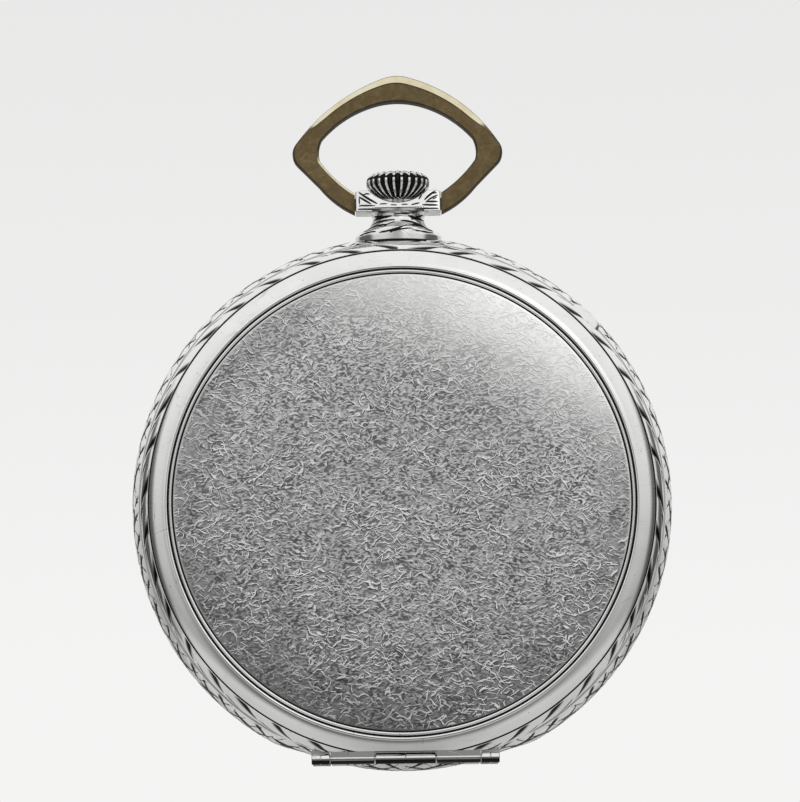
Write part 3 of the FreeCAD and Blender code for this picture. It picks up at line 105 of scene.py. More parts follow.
def cappedNet(rows, columns):
    # the net of gridFaces with a flat cap over its first and its last row
    last = (rows - 1) * columns
    return gridFaces(rows, columns) + [tuple(range(columns))[::-1], tuple(range(last, last + columns))]


def spun(profile, count, shape):
    # a profile's radii and levels repeated round a full turn, as shape leaves them, with its marks of cuts
    # and painted light
    angle = np.arange(count) * 2 * math.pi / count
    radius = np.repeat(profile[:, 0:1], count, axis=1)
    level = np.repeat(profile[:, 1:2], count, axis=1)
    return angle, *shape(radius, level, angle[None, :] + 0 * radius)


def turnedRing(profile, count, shape):
    # a closed profile of (radius, y) turned about the case axis
    angle, radius, level, cutsAndPaintedLight = spun(profile, count, shape)
    points = np.stack([radius * np.sin(angle), level, radius * np.cos(angle)], axis=-1)
    return points.reshape(-1, 3), gridFaces(len(profile), count, wrapRows=True), cutsAndPaintedLight.reshape(-1)


def turnedUp(profile, count, shape):
    # a profile of (radius, z) turned about the stem axis
    angle, radius, height, cutsAndPaintedLight = spun(profile, count, shape)
    points = np.stack([radius * np.sin(angle), stemLevel - radius * np.cos(angle), height], axis=-1)
    return points.reshape(-1, 3), cappedNet(len(profile), count), cutsAndPaintedLight.reshape(-1)


def block(low, high, back, front, bottom, top):
    # a plain block between two places along X, two along Y and two along Z
    section = [(back, bottom), (back, top), (front, top), (front, bottom)]
    points = [(x, y, z) for x in (low, high) for y, z in section]
    return np.array(points), cappedNet(2, len(section)), np.zeros(len(points))


def bothSides(near, far):
    # the X ranges from near to far on each side of the middle
    return [tuple(sorted((side * near, side * far))) for side in (-1, 1)]


def knuckle(level, drop, radius, low, high, grooves=(), paintedShade=0.0, corners=28):
    # a round hinge knuckle with softened ends, optional turned grooves, and painted shade on its far half
    stops = [(low, 0.88), (low + 0.06, 1.0)]
    for middle in grooves:
        stops += [(middle - 0.07, 1.0), (middle, 0.9), (middle + 0.07, 1.0)]
    stops += [(high - 0.06, 1.0), (high, 0.88)]
    around = np.arange(corners) * 2 * math.pi / corners
    points = np.array([(x, level + radius * share * math.sin(a), drop + radius * share * math.cos(a))
                       for x, share in stops for a in around])
    # painted shade: the far half of the knuckle is marked dark, standing in for the shadow under it
    shadeBelow = paintedShade * np.clip((drop - 0.1 * radius - points[:, 2]) / (0.3 * radius), 0, 1)
    return points, cappedNet(len(stops), corners), shadeBelow


def fixNormals(mesh):
    work = bmesh.new()
    work.from_mesh(mesh)
    bmesh.ops.recalc_face_normals(work, faces=work.faces)
    work.to_mesh(mesh)
    work.free()


def makePiece(name, parts, body, material, replaced=(), sharp=32):
    # joins parts of points, faces and marks of cuts and painted light; edges turning more than sharp degrees
    # stay crisp
    points, faces, grooves, offset = [], [], [], 0
    for some, corners, cutsAndPaintedLight in parts:
        points.append(some)
        grooves.append(cutsAndPaintedLight)
        faces += [tuple(index + offset for index in face) for face in corners]
        offset += len(some)
    mesh = bpy.data.meshes.new(name)
    mesh.from_pydata((np.concatenate(points) * mm).tolist(), [], faces)
    mesh.validate()
    mesh.polygons.foreach_set("use_smooth", [True] * len(mesh.polygons))
    mesh.set_sharp_from_angle(angle=math.radians(sharp))
    mark = mesh.attributes.new("cutsAndPaintedLight", "FLOAT", "POINT")
    mark.data.foreach_set("value", np.concatenate(grooves).astype(np.float32))
    fixNormals(mesh)
    piece = addObject(name, mesh)
    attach(piece, body)
    for node in replaced:
        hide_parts(node)
    piece.data.materials.append(material)


def strokeDepth(across, along, strokes):
    # how deep tapered graver cuts lie at each point: 1 in the middle of a cut, 0 outside
    depth = np.zeros_like(across)
    for x0, y0, x1, y1, width, bend in strokes:
        dx, dy = x1 - x0, y1 - y0
        length = math.hypot(dx, dy)
        share = ((across - x0) * dx + (along - y0) * dy) / length ** 2
        side = ((along - y0) * dx - (across - x0) * dy) / length
        side = side - bend * 4 * share * (1 - share)
        taper = np.clip(4 * share * (1 - share), 0, 1) ** 0.5
        inside = (share > 0) & (share < 1)
        near = np.clip(1 - np.abs(side) / (width * taper + 1e-6), 0, 1)
        depth = np.maximum(depth, np.where(inside, near, 0))
    return depth


def feed(tree, socket, value):
    # a socket takes a link from another node or a plain value
    if isinstance(value, bpy.types.NodeSocket):
        tree.links.new(value, socket)
    else:
        socket.default_value = value


def put(tree, kind, links=None, **settings):
    node = tree.nodes.new("ShaderNode" + kind)
    for key, value in settings.items():
        setattr(node, key, value)
    for key, value in (links or {}).items():
        feed(tree, node.inputs[key], value)
    return node


def calc(tree, operation, *values, clamp=False):
    return put(tree, "Math", dict(enumerate(values)), operation=operation, use_clamp=clamp).outputs[0]


def times(tree, first, second):
    return calc(tree, "MULTIPLY", first, second)


def plus(tree, first, second):
    return calc(tree, "ADD", first, second)


def minus(tree, first, second):
    return calc(tree, "SUBTRACT", first, second)


def larger(tree, first, second):
    return calc(tree, "MAXIMUM", first, second)


def ramp(tree, value, low, high, start=0.0, end=1.0):
    # a soft step from start to end as the value runs from low to high
    node = put(tree, "MapRange", {"Value": value, "From Min": low, "From Max": high, "To Min": start,
                                  "To Max": end}, interpolation_type="SMOOTHSTEP")
    return node.outputs["Result"]


def blendColour(tree, factor, first, second):
    node = put(tree, "Mix", {0: factor, 6: first, 7: second}, data_type="RGBA")
    return node.outputs[2]


def noiseAt(tree, vector, scale, detail=3.0, roughness=0.55, distortion=0.0):
    node = put(tree, "TexNoise", {"Vector": vector, "Scale": scale, "Detail": detail, "Roughness": roughness,
                                  "Distortion": distortion})
    return node.outputs[0]


def newGroup(name, inputs, outputs):
    group = bpy.data.node_groups.new(name, "ShaderNodeTree")
    for label, kind, value in inputs:
        socket = group.interface.new_socket(name=label, in_out="INPUT", socket_type="NodeSocket" + kind)
        if value is not None:
            socket.default_value = value
    for label, kind in outputs:
        group.interface.new_socket(name=label, in_out="OUTPUT", socket_type="NodeSocket" + kind)
    return group, group.nodes.new("NodeGroupInput").outputs, group.nodes.new("NodeGroupOutput").inputs


def useGroup(tree, name, links):
    node = tree.nodes.new("ShaderNodeGroup")
    node.node_tree = bpy.data.node_groups[name]
    for key, value in links.items():
        feed(tree, node.inputs[key], value)
    return node.outputs


def gray(value):
    return (value, value, value, 1.0)


def grayOf(tree, value):
    # a grey colour whose level comes from another node
    return put(tree, "CombineColor", {0: value, 1: value, 2: value}).outputs[0]


def buildStrokes():
    # short worm-like graver strokes, about one Spacing apart; Mask is 1 on a bright stroke
    tree, given, result = newGroup("wormStrokes", [("Place", "Vector", None), ("Spacing", "Float", 0.3),
                                                   ("Hardness", "Float", 0.5)], [("Mask", "Float")])
    scale = calc(tree, "DIVIDE", 1.0, given["Spacing"])
    lean = put(tree, "TexNoise", {"Vector": given["Place"], "Scale": 0.33, "Detail": 1.0}).outputs["Color"]
    push = put(tree, "VectorMath", {0: lean, 1: (1.3, 1.3, 1.3)}, operation="MULTIPLY").outputs[0]
    moved = put(tree, "VectorMath", {0: given["Place"], 1: push}, operation="ADD").outputs[0]
    turned = put(tree, "Mapping", {"Vector": moved, "Scale": (0.72, 1.0, 1.3)}).outputs[0]
    first = put(tree, "TexNoise", {"Vector": turned, "Scale": scale, "Detail": 0.6, "Distortion": 0.35})
    crossed = put(tree, "Mapping", {"Vector": moved, "Rotation": (0.0, 1.1, 0.0), "Scale": (0.6, 1.0, 1.35),
                                    "Location": (31.0, 7.0, 11.0)}).outputs[0]
    second = put(tree, "TexNoise", {"Vector": crossed, "Scale": scale, "Detail": 0.6, "Distortion": 0.35})
    patch = noiseAt(tree, given["Place"], 0.8, 1.0)
    which = ramp(tree, patch, 0.46, 0.54)
    mixed = put(tree, "Mix", {0: which, 2: first.outputs[0], 3: second.outputs[0]}).outputs[0]
    half = times(tree, minus(tree, 1.0, given["Hardness"]), 0.12)
    low = minus(tree, 0.5, half)
    high = plus(tree, 0.5, half)
    tree.links.new(ramp(tree, mixed, low, high), result["Mask"])


def buildHairlines():
    # long thin scratches: contour lines of bent noise, broken up; Mask is 1 on a scratch
    tree, given, result = newGroup("hairlines", [("Place", "Vector", None), ("Spacing", "Float", 3.0),
                                                 ("Width", "Float", 0.02), ("Share", "Float", 0.5)],
                                   [("Mask", "Float")])
    scale = calc(tree, "DIVIDE", 1.0, given["Spacing"])
    total = None
    for index, (turn, stretch) in enumerate(((0.4, 0.35), (1.7, 0.3), (2.6, 0.4))):
        laid = put(tree, "Mapping", {"Vector": given["Place"], "Location": (17.0 * index, 3.0, 5.0),
                                     "Rotation": (0.3 * index, turn, 0.2), "Scale": (stretch, 1, 1)})
        laid = laid.outputs[0]
        value = noiseAt(tree, laid, scale, 0.0, 0.5, 0.4)
        line = calc(tree, "ABSOLUTE", minus(tree, value, 0.5))
        line = ramp(tree, line, 0.0, given["Width"], 1.0, 0.0)
        kept = noiseAt(tree, laid, times(tree, scale, 2.2), 1.0)
        line = times(tree, line, ramp(tree, kept, minus(tree, 1.0, given["Share"]), 0.75))
        total = line if total is None else larger(tree, total, line)
    tree.links.new(total, result["Mask"])


def buildTarnish():
    # cloudy stain, small spots and fine grain, as three masks of their own
    tree, given, result = newGroup("tarnish", [("Place", "Vector", None), ("Cloud", "Float", 6.0),
                                               ("Spot", "Float", 0.8), ("Grain", "Float", 0.08)],
                                   [("Clouds", "Float"), ("Spots", "Float"), ("Grains", "Float")])
    broad = noiseAt(tree, given["Place"], calc(tree, "DIVIDE", 1.0, given["Cloud"]), 4.0, 0.6, 0.6)
    tree.links.new(ramp(tree, broad, 0.36, 0.66), result["Clouds"])
    spotScale = calc(tree, "DIVIDE", 1.0, given["Spot"])
    spots = put(tree, "TexVoronoi", {"Vector": given["Place"], "Scale": spotScale})
    rare = ramp(tree, noiseAt(tree, given["Place"], 0.9, 2.0), 0.55, 0.68)
    dots = ramp(tree, spots.outputs["Distance"], 0.08, 0.26, 1.0, 0.0)
    tree.links.new(times(tree, dots, rare), result["Spots"])
    tree.links.new(noiseAt(tree, given["Place"], calc(tree, "DIVIDE", 1.0, given["Grain"]), 2.0),
                   result["Grains"])


def buildShortScratches():
    # one short curved scratch in each cell of the back's plane; Mask is 1 on it, Shadow beside it
    tree, given, result = newGroup("shortScratches", [("Place", "Vector", None), ("Cell", "Float", 1.0),
                                                      ("Length", "Float", 0.4), ("Width", "Float", 0.05),
                                                      ("Bend", "Float", 0.6), ("Share", "Float", 0.5),
                                                      ("Seed", "Float", 0.0), ("Turn", "Float", 1.2)],
                                   [("Mask", "Float"), ("Shadow", "Float")])
    split = put(tree, "SeparateXYZ", {0: given["Place"]}).outputs
    flat = put(tree, "CombineXYZ", {0: plus(tree, split[0], given["Seed"]), 1: split[2]}).outputs[0]
    warp = put(tree, "TexNoise", {"Vector": flat, "Scale": 0.7, "Detail": 1.0}).outputs["Color"]
    flat = put(tree, "VectorMath", {0: warp, 1: (1.4, 1.4, 0), 2: flat}, operation="MULTIPLY_ADD").outputs[0]
    scaled = put(tree, "VectorMath", {0: flat, "Scale": calc(tree, "DIVIDE", 1.0, given["Cell"])},
                 operation="SCALE").outputs[0]
    cells = put(tree, "TexVoronoi", {"Vector": scaled, "Scale": 1.0}, voronoi_dimensions="2D").outputs
    offset = put(tree, "VectorMath", {0: scaled, 1: cells["Position"]}, operation="SUBTRACT").outputs[0]
    chance = put(tree, "SeparateXYZ", {0: cells["Color"]}).outputs
    local = put(tree, "SeparateXYZ", {0: offset}).outputs
    angle = times(tree, minus(tree, chance[0], 0.5), times(tree, given["Turn"], 2.0))
    c, s = calc(tree, "COSINE", angle), calc(tree, "SINE", angle)
    along = plus(tree, times(tree, local[0], c), times(tree, local[1], s))
    aside = minus(tree, times(tree, local[1], c), times(tree, local[0], s))
    curve = times(tree, times(tree, minus(tree, chance[1], 0.5), given["Bend"]),
                  times(tree, along, along))
    aside = minus(tree, aside, curve)
    reach = calc(tree, "DIVIDE", calc(tree, "ABSOLUTE", along), given["Length"])
    kept = times(tree, ramp(tree, reach, 0.7, 1.0, 1.0, 0.0),
                 calc(tree, "LESS_THAN", chance[2], given["Share"]))
    for label, shift in (("Mask", 0.0), ("Shadow", 1.6)):
        away = calc(tree, "ABSOLUTE", plus(tree, aside, times(tree, given["Width"], shift)))
        line = ramp(tree, away, times(tree, given["Width"], 0.3), given["Width"], 1.0, 0.0)
        tree.links.new(times(tree, line, kept), result[label])


buildStrokes()
buildHairlines()
buildTarnish()
buildShortScratches()
print("shader groups made")


def tarnishAt(tree, place, cloud, spot, grain):
    return useGroup(tree, "tarnish", {"Place": place, "Cloud": cloud, "Spot": spot, "Grain": grain})


def hairlinesAt(tree, place, spacing, width, share):
    lines = {"Place": place, "Spacing": spacing, "Width": width, "Share": share}
    return useGroup(tree, "hairlines", lines)["Mask"]


def newMaterial(name):
    material = bpy.data.materials.new(name)
    material.use_nodes = True
    tree = material.node_tree
    shader = tree.nodes["Principled BSDF"]
    place = put(tree, "VectorMath", {0: put(tree, "TexCoord").outputs["Object"], 1: (1000, 1000, 1000)},
                operation="MULTIPLY").outputs[0]
    return material, tree, shader, place


def finish(tree, shader, colour, rough, height=None, depth=0.00002, strength=1.0):
    tree.links.new(colour, shader.inputs["Base Color"])
    tree.links.new(rough, shader.inputs["Roughness"])
    if height is not None:
        bump = put(tree, "Bump", {"Height": height, "Distance": depth, "Strength": strength})
        tree.links.new(bump.outputs[0], shader.inputs["Normal"])


# each family of scratches has its cell, length, width, share of cells filled, and seed
# the fourth entry is the reach over which the upper right of the cover's rim gets its painted highlight
disc = {"edge": (20.75, 21.0), "strokeSpacing": 0.24, "strokeHardness": 0.15, "paintedLight": (13.0, 21.5),
        "scratches": ((0.62, 0.5, 0.085, 0.75, 0), (0.8, 0.5, 0.07, 0.7, 31), (1.15, 0.48, 0.05, 0.6, 57),
                      (1.7, 0.47, 0.035, 0.5, 93), (3.1, 0.46, 0.02, 0.4, 131))}


def scratchedDisc(tree, place, colour, rough, height):
    # worm-like strokes and short scratches over the middle of the cover's outer face
    split = put(tree, "SeparateXYZ", {0: place}).outputs
    reach = calc(tree, "SQRT", plus(tree, times(tree, split[0], split[0]),
                                    times(tree, split[2], split[2])))
    outerFace = ramp(tree, minus(tree, split[1], ramp(tree, reach, 12.0, 21.0, 0.0, 0.5)), 0.2, 0.3, 1.0, 0.0)
    middle = times(tree, ramp(tree, reach, *disc["edge"], 1.0, 0.0), outerFace)
    # painted highlight: the strokes thin out towards the upper right of the rim, leaving it paler
    side = plus(tree, times(tree, split[0], 0.44), times(tree, split[2], 0.9))
    side = plus(tree, side, times(tree, noiseAt(tree, place, 0.25, 2.0), 6.0))
    paintedHighlight = ramp(tree, side, *disc["paintedLight"])
    bold = times(tree, middle, minus(tree, 1.0, times(tree, paintedHighlight, 0.75)))
    strokes = useGroup(tree, "wormStrokes", {"Place": place, "Spacing": disc["strokeSpacing"],
                                             "Hardness": disc["strokeHardness"]})
    lowTone = grayOf(tree, ramp(tree, noiseAt(tree, place, 0.45, 4.0), 0.3, 0.7, 0.16, 0.38))
    highTone = grayOf(tree, ramp(tree, reach, 16.0, 20.0, 0.76, 0.55))
    inked = blendColour(tree, strokes["Mask"], lowTone, highTone)
    white, black = 0.0, 0.0
    for cell, length, wide, share, seed in disc["scratches"]:
        made = useGroup(tree, "shortScratches", {"Place": place, "Cell": cell, "Length": length, "Seed": seed,
                                                 "Width": wide, "Bend": 1.6, "Share": share, "Turn": 1.0})
        white = larger(tree, white, made["Mask"])
        black = larger(tree, black, made["Shadow"])
    thick = ramp(tree, noiseAt(tree, place, 0.22, 3.0), 0.3, 0.62, 0.3, 1.0)
    calm = ramp(tree, plus(tree, side, noiseAt(tree, place, 0.3, 1.0)), -19.0, -9.0, 0.35, 1.0)
    thick = times(tree, thick, calm)
    white = times(tree, white, thick)
    inked = blendColour(tree, times(tree, times(tree, black, 0.8), thick), inked, gray(0.06))
    inked = blendColour(tree, white, inked, gray(1.0))
    scored = times(tree, bold, white)
    rough = plus(tree, rough, times(tree, bold, 0.16))
    rough = plus(tree, rough, times(tree, scored, 0.5))
    return blendColour(tree, bold, colour, inked), rough, plus(tree, height, scored)


def caseSilver(name, engraved=False, bright=0.86):
    # polished coin silver: engraved pieces carry dark in their cuts, the cover has its worm-like middle with
    # a painted highlight at its upper right and dark seams, and the hinge knuckles carry painted shade on
    # their far half
    material, tree, shader, place = newMaterial(name)
    stain = tarnishAt(tree, place, 7.0, 0.5, 0.12)
    scratch = hairlinesAt(tree, place, 4.0, 0.012, 0.42)
    fine = hairlinesAt(tree, place, 1.4, 0.02, 0.5)
    colour = blendColour(tree, stain["Clouds"], (bright * 0.93, bright * 0.935, bright * 0.92, 1),
                         (bright, bright * 0.995, bright * 0.975, 1))
    colour = blendColour(tree, times(tree, stain["Spots"], 0.5), colour, (0.24, 0.23, 0.2, 1))
    marks = larger(tree, times(tree, scratch, 0.6), times(tree, fine, 0.3))
    colour = blendColour(tree, times(tree, marks, 0.45), colour, (0.16, 0.16, 0.15, 1))
    rough = plus(tree, times(tree, stain["Grains"], 0.1), calc(tree, "MULTIPLY_ADD", marks, 0.15, 0.1))
    height = times(tree, marks, -0.5)
    cutsAndShade = put(tree, "Attribute", attribute_name="cutsAndPaintedLight").outputs["Fac"]
    if engraved:
        # dark in the engraved cuts, and painted shade where the knuckles are marked dark
        dark = ramp(tree, cutsAndShade, 0.08, 0.6)
        colour = blendColour(tree, dark, colour, (0.018, 0.017, 0.015, 1))
        rough = larger(tree, rough, times(tree, dark, 0.5))
    else:
        colour, rough, height = scratchedDisc(tree, place, colour, rough, height)
        # dark seams, and painted shade on the far half of the hinge knuckles
        seamsAndShade = ramp(tree, cutsAndShade, 0.2, 0.9)
        colour = blendColour(tree, seamsAndShade, colour, (0.03, 0.03, 0.028, 1))
    shader.inputs["Metallic"].default_value = 1.0
    finish(tree, shader, colour, rough, height, 0.000015)
    return material


def plainMetal(name, colour, second, rough, grain=0.25, brushed=0.0, paintedSheenColour=None):
    # turned or polished metal for smaller parts: cloud, spots, fine lines and grain, and an optional painted
    # sheen in a paler colour at grazing angles
    material, tree, shader, place = newMaterial(name)
    stain = tarnishAt(tree, place, 2.4, 0.3, grain)
    lines = hairlinesAt(tree, place, 1.1, 0.03, 0.5)
    tone = blendColour(tree, stain["Clouds"], (*colour, 1), (*second, 1))
    tone = blendColour(tree, times(tree, stain["Spots"], 0.4), tone,
                       (colour[0] * 0.3, colour[1] * 0.28, colour[2] * 0.25, 1))
    if paintedSheenColour:
        # painted sheen: the colour turns to the given paler one where the surface turns away from the camera
        edge = put(tree, "LayerWeight", {"Blend": 0.35}).outputs["Facing"]
        tone = blendColour(tree, edge, tone, (*paintedSheenColour, 1))
    value = calc(tree, "MULTIPLY_ADD", stain["Grains"], 0.12, rough)
    value = plus(tree, value, times(tree, lines, 0.12))
    height = times(tree, lines, -0.4)
    if brushed:
        comb = put(tree, "Mapping", {"Vector": place, "Scale": (0.3, 6.0, 6.0)}).outputs[0]
        streak = noiseAt(tree, comb, 2.2, 2.0)
        value = plus(tree, value, times(tree, streak, brushed))
        height = plus(tree, height, times(tree, streak, brushed * 2))
    shader.inputs["Metallic"].default_value = 1.0
    finish(tree, shader, tone, value, height, 0.00001)
    return material


def giltPlate(name):
    # matt fire-gilt plates: grained gold with a slight orange in the hollows and worn pale spots
    material, tree, shader, place = newMaterial(name)
    stain = tarnishAt(tree, place, 4.0, 0.6, 0.1)
    tone = blendColour(tree, stain["Clouds"], (0.72, 0.5, 0.2, 1), (0.86, 0.65, 0.32, 1))
    tone = blendColour(tree, times(tree, stain["Spots"], 0.6), tone, (0.4, 0.24, 0.1, 1))
    stipple = put(tree, "TexVoronoi", {"Vector": place, "Scale": 9.0}).outputs["Distance"]
    tone = blendColour(tree, ramp(tree, stipple, 0.0, 0.35, 0.35, 0.0), tone, (0.95, 0.76, 0.42, 1))
    rough = calc(tree, "MULTIPLY_ADD", stain["Grains"], 0.14, 0.27)
    shader.inputs["Metallic"].default_value = 1.0
    finish(tree, shader, tone, rough, plus(tree, stipple, stain["Grains"]), 0.00002, 0.6)
    return material


def enamelFace(name, ink=False):
    material, tree, shader, place = newMaterial(name)
    stain = tarnishAt(tree, place, 8.0, 0.9, 0.3)
    hair = hairlinesAt(tree, place, 9.0, 0.003, 0.34)
    base, warm = ((0.012, 0.012, 0.014, 1), (0.03, 0.03, 0.034, 1)) if ink else \
        ((0.87, 0.86, 0.82, 1), (0.83, 0.81, 0.75, 1))
    tone = blendColour(tree, stain["Clouds"], base, warm)
    tone = blendColour(tree, times(tree, stain["Spots"], 0.25), tone, (0.35, 0.32, 0.28, 1))
    tone = blendColour(tree, times(tree, hair, 0.5), tone, (0.3, 0.28, 0.25, 1))
    rough = calc(tree, "MULTIPLY_ADD", stain["Grains"], 0.08, 0.3 if ink else 0.1)
    finish(tree, shader, tone, rough, noiseAt(tree, place, 0.5, 2.0), 0.00002, 0.3)
    shader.inputs["Coat Weight"].default_value = 0.0 if ink else 0.5
    shader.inputs["Coat Roughness"].default_value = 0.06
    return material


def rubyStone(name):
    material, tree, shader, place = newMaterial(name)
    cloud = noiseAt(tree, place, 3.0, 3.0)
    tone = blendColour(tree, cloud, (0.42, 0.01, 0.04, 1), (0.75, 0.05, 0.12, 1))
    # painted sheen: paler pink where the stone turns away from the camera
    rubyPaintedSheen = put(tree, "LayerWeight", {"Blend": 0.4}).outputs["Facing"]
    tone = blendColour(tree, times(tree, rubyPaintedSheen, 0.5), tone, (0.9, 0.22, 0.3, 1))
    rough = calc(tree, "MULTIPLY_ADD", noiseAt(tree, place, 12.0), 0.08, 0.04)
    finish(tree, shader, tone, rough)
    shader.inputs["Coat Weight"].default_value = 0.8
    shader.inputs["Coat Roughness"].default_value = 0.03
    return material


def watchGlass(name):
    # thin mineral glass, with a little dust, a few hairlines, and a painted reflection that makes it more
    # solid where it turns away from the camera
    material, tree, shader, place = newMaterial(name)
    stain = tarnishAt(tree, place, 9.0, 0.4, 0.2)
    lines = hairlinesAt(tree, place, 6.0, 0.004, 0.4)
    rough = calc(tree, "MULTIPLY_ADD", stain["Clouds"], 0.02, 0.005)
    rough = plus(tree, rough, times(tree, lines, 0.1))
    tone = blendColour(tree, stain["Grains"], (0.97, 0.985, 0.975, 1), (0.99, 0.99, 0.99, 1))
    finish(tree, shader, tone, rough)
    solid = calc(tree, "MULTIPLY_ADD", stain["Spots"], 0.05, 0.1)
    # painted reflection: the glass grows more solid and pale towards its grazing edges
    rim = put(tree, "LayerWeight", {"Blend": 0.25}).outputs["Facing"]
    alpha = calc(tree, "ADD", solid, calc(tree, "MULTIPLY", rim, 0.35), clamp=True)
    tree.links.new(alpha, shader.inputs["Alpha"])
    shader.inputs["IOR"].default_value = 1.5
    return material


looks = {
    "case_silver": caseSilver("caseSilverPlain", engraved=True),
    "crown_silver": caseSilver("crownSilver", engraved=True, bright=0.84),
    "inner_silver": plainMetal("dustCoverSilver", (0.74, 0.73, 0.7), (0.82, 0.81, 0.78), 0.16, 0.2),
    "glass": watchGlass("watchGlass"),
    "enamel": enamelFace("dialEnamel"),
    "gilt_plate": giltPlate("frostedGilt"),
    "train_brass": plainMetal("gildedWheelBrass", (0.78, 0.56, 0.24), (0.86, 0.66, 0.34), 0.2, 0.15),
    "blued_steel": plainMetal("bluedSteel", (0.02, 0.05, 0.2), (0.035, 0.07, 0.28), 0.16, 0.2,
                              paintedSheenColour=(0.12, 0.13, 0.42)),
    "ruby": rubyStone("rubyJewel"),
    "copper": plainMetal("copperFeet", (0.66, 0.32, 0.2), (0.5, 0.23, 0.14), 0.3, 0.15),
    "steel": plainMetal("polishedSteel", (0.56, 0.56, 0.57), (0.47, 0.47, 0.48), 0.17, 0.12, brushed=0.12),
    "bow_brass": plainMetal("bowBrassPlain", (0.3, 0.22, 0.11), (0.4, 0.3, 0.16), 0.25, 0.2),
}
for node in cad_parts.values():
    for index, held in enumerate(node.data.materials):
        word = held.name.split(".")[0]
        node.data.materials[index] = looks[word]
print("node materials made")


def leafCuts(around, across, cell, rows, width, flow):
    # blades of leaf running round the edge; across is 0 to 1, flow turns their slant over at the bottom
    index = np.floor(around / cell)
    share = around / cell - index
    chance = (np.sin(index * 12.9898) * 43758.5453) % 1.0
    depth = np.zeros_like(around)
    for row in range(rows):
        start = (row + 0.5) / rows + 0.12 * (chance - 0.5)
        slant = (0.5 + 0.7 * ((chance * (row + 3)) % 1.0)) * flow
        middle = start + slant * (share - 0.5) + 0.1 * np.sin(share * math.pi) * (1 if row % 2 else -1)
        wide = width * np.sin(math.pi * np.clip(share, 0, 1)) ** 0.6 + 1e-4
        depth = np.maximum(depth, np.clip(1.25 - np.abs(across - middle) / wide, 0, 1))
    return depth


def sideFlow(angle):
    return np.where(np.sin(angle) >= 0, 1.0, -1.0)


def softMask(value, low, high):
    share = np.clip((value - low) / (high - low), 0, 1)
    return share * share * (3 - 2 * share)


# the hinge bar's knuckles end at one, two and end along X, and are a gap apart
hinge = {"drop": 23.45, "chord": 22.8, "radius": 0.5, "backLevel": 1.75, "frontLevel": 9.15,
         "one": 2.8, "two": 6.9, "end": 8.6, "gap": 0.05, "webInset": 0.02}

cover = {"segments": 1200, "edge": 23.45, "seams": ((21.03, 21.12), (21.46, 21.56), (23.25, 23.36)),
         "leafFrom": 0.98, "leafTall": 1.25, "leafDepth": 0.09}
lip = {"from": 41.5, "to": 49.5, "steps": 17, "inner": 23.7, "outer": 24.72, "low": 1.5, "high": 2.13}
coverProfile = outline([
    (0.001, 0), (4, 0), (8, 0), (12, 0), (16.6, 0.16, 30), (21.0, 0.49), (21.05, 0.61), (21.1, 0.61),
    (21.15, 0.4), (21.26, 0.34, 6), (21.4, 0.42), (21.47, 0.66), (21.55, 0.66), (21.6, 0.46),
    (21.72, 0.43, 6), (21.86, 0.46), (22.6, 0.66, 18), (23.2, 1.0), (23.26, 1.1), (23.34, 1.1), (23.4, 1.06),
    (23.88, 1.42, 22), (24.1, 2.25),
    (23.15, 2.25), (23.15, 1.4), (22.7, 1.2), (21.25, 1.15), (12, 0.5), (0.001, 0.5),
])


def shapeCover(radius, level, angle):
    # seams round the disc and its ring, and a leaf border cut into the edge
    cutsAndPaintedLight = np.zeros_like(radius)
    face = (level > 0.55) & (level < 1.15)
    for low, high in cover["seams"]:
        cutsAndPaintedLight = np.maximum(cutsAndPaintedLight, np.where((radius > low) & (radius < high) & face, 1.0, 0.0))
    rim = (radius > cover["edge"]) & (level < 2.2) & (level > 0.9)
    across = np.clip((level - cover["leafFrom"]) / cover["leafTall"], 0, 1)
    cuts = leafCuts(angle * 24, across, 3.9, 2, 0.16, 0.8 * sideFlow(angle))
    cuts = cuts * rim * softMask(across, 0.02, 0.12)
    return radius - cover["leafDepth"] * cuts, level, np.maximum(cutsAndPaintedLight, cuts)


def thumbLip():
    # a small lip for the nail on the edge, swelling out and back again
    turns = np.radians(np.linspace(lip["from"], lip["to"], lip["steps"]))
    net = []
    for turn in turns:
        swell = math.sin(math.pi * (turn - turns[0]) / (turns[-1] - turns[0])) ** 0.35
        tip = lip["inner"] + 0.3 + (lip["outer"] - lip["inner"] - 0.3) * swell
        section = [(lip["inner"], lip["low"] - 0.1), (tip - 0.16, lip["low"] + 0.22),
                   (tip, lip["low"] + 0.36), (tip, lip["high"] - 0.14), (tip - 0.12, lip["high"]),
                   (lip["inner"], lip["high"])]
        net += [(r * math.sin(turn), y, r * math.cos(turn)) for r, y in section]
    return np.array(net), cappedNet(lip["steps"], len(section)), np.zeros(len(net))


def makeBackCover():
    parts = [turnedRing(coverProfile, cover["segments"], shapeCover)]
    points = parts[0][0]
    points[:, 2] = np.maximum(points[:, 2], -hinge["chord"])
    for low, high in bothSides(hinge["one"] + hinge["gap"], hinge["two"] - hinge["gap"]):
        # these knuckles carry painted shade on their far half
        parts.append(knuckle(hinge["backLevel"], -hinge["drop"], hinge["radius"], low, high, paintedShade=1.0))
        parts.append(block(low + hinge["webInset"], high - hinge["webInset"], 1.27, 2.08, -23.4, -22.3))
    parts.append(thumbLip())
    silver = caseSilver("coverSilver")
    makePiece("hinged_back_shell", parts, "back_cover", silver, ["back_cover"])


makeBackCover()
print("back cover made")

band = {"segments": 1440, "back": 2.3, "front": 8.6, "belly": 24.24, "cutDepth": 0.1, "trim": 0.008,
        "flattened": 0.42, "hingeHalf": 12, "hingeTop": -20.6}
bandProfile = outline([
    (24.25, 2.3), (24.5, 2.8), (25.0, 5.4, 40), (24.5, 8.1), (24.25, 8.6), (22.7, 8.6), (22.7, 9.4),
    (22.2, 9.4), (22.2, 8.6), (21.0, 8.6), (21.0, 7.45), (20.35, 7.45), (20.35, 6.5), (23.15, 6.5),
    (23.8, 5.4, 6), (23.15, 3.2), (20.7, 3.2), (20.7, 2.3), (22.0, 2.3), (22.0, 1.75), (22.7, 1.75),
    (22.7, 1.5), (23.05, 1.5), (23.05, 2.3),
], reach=0.3)


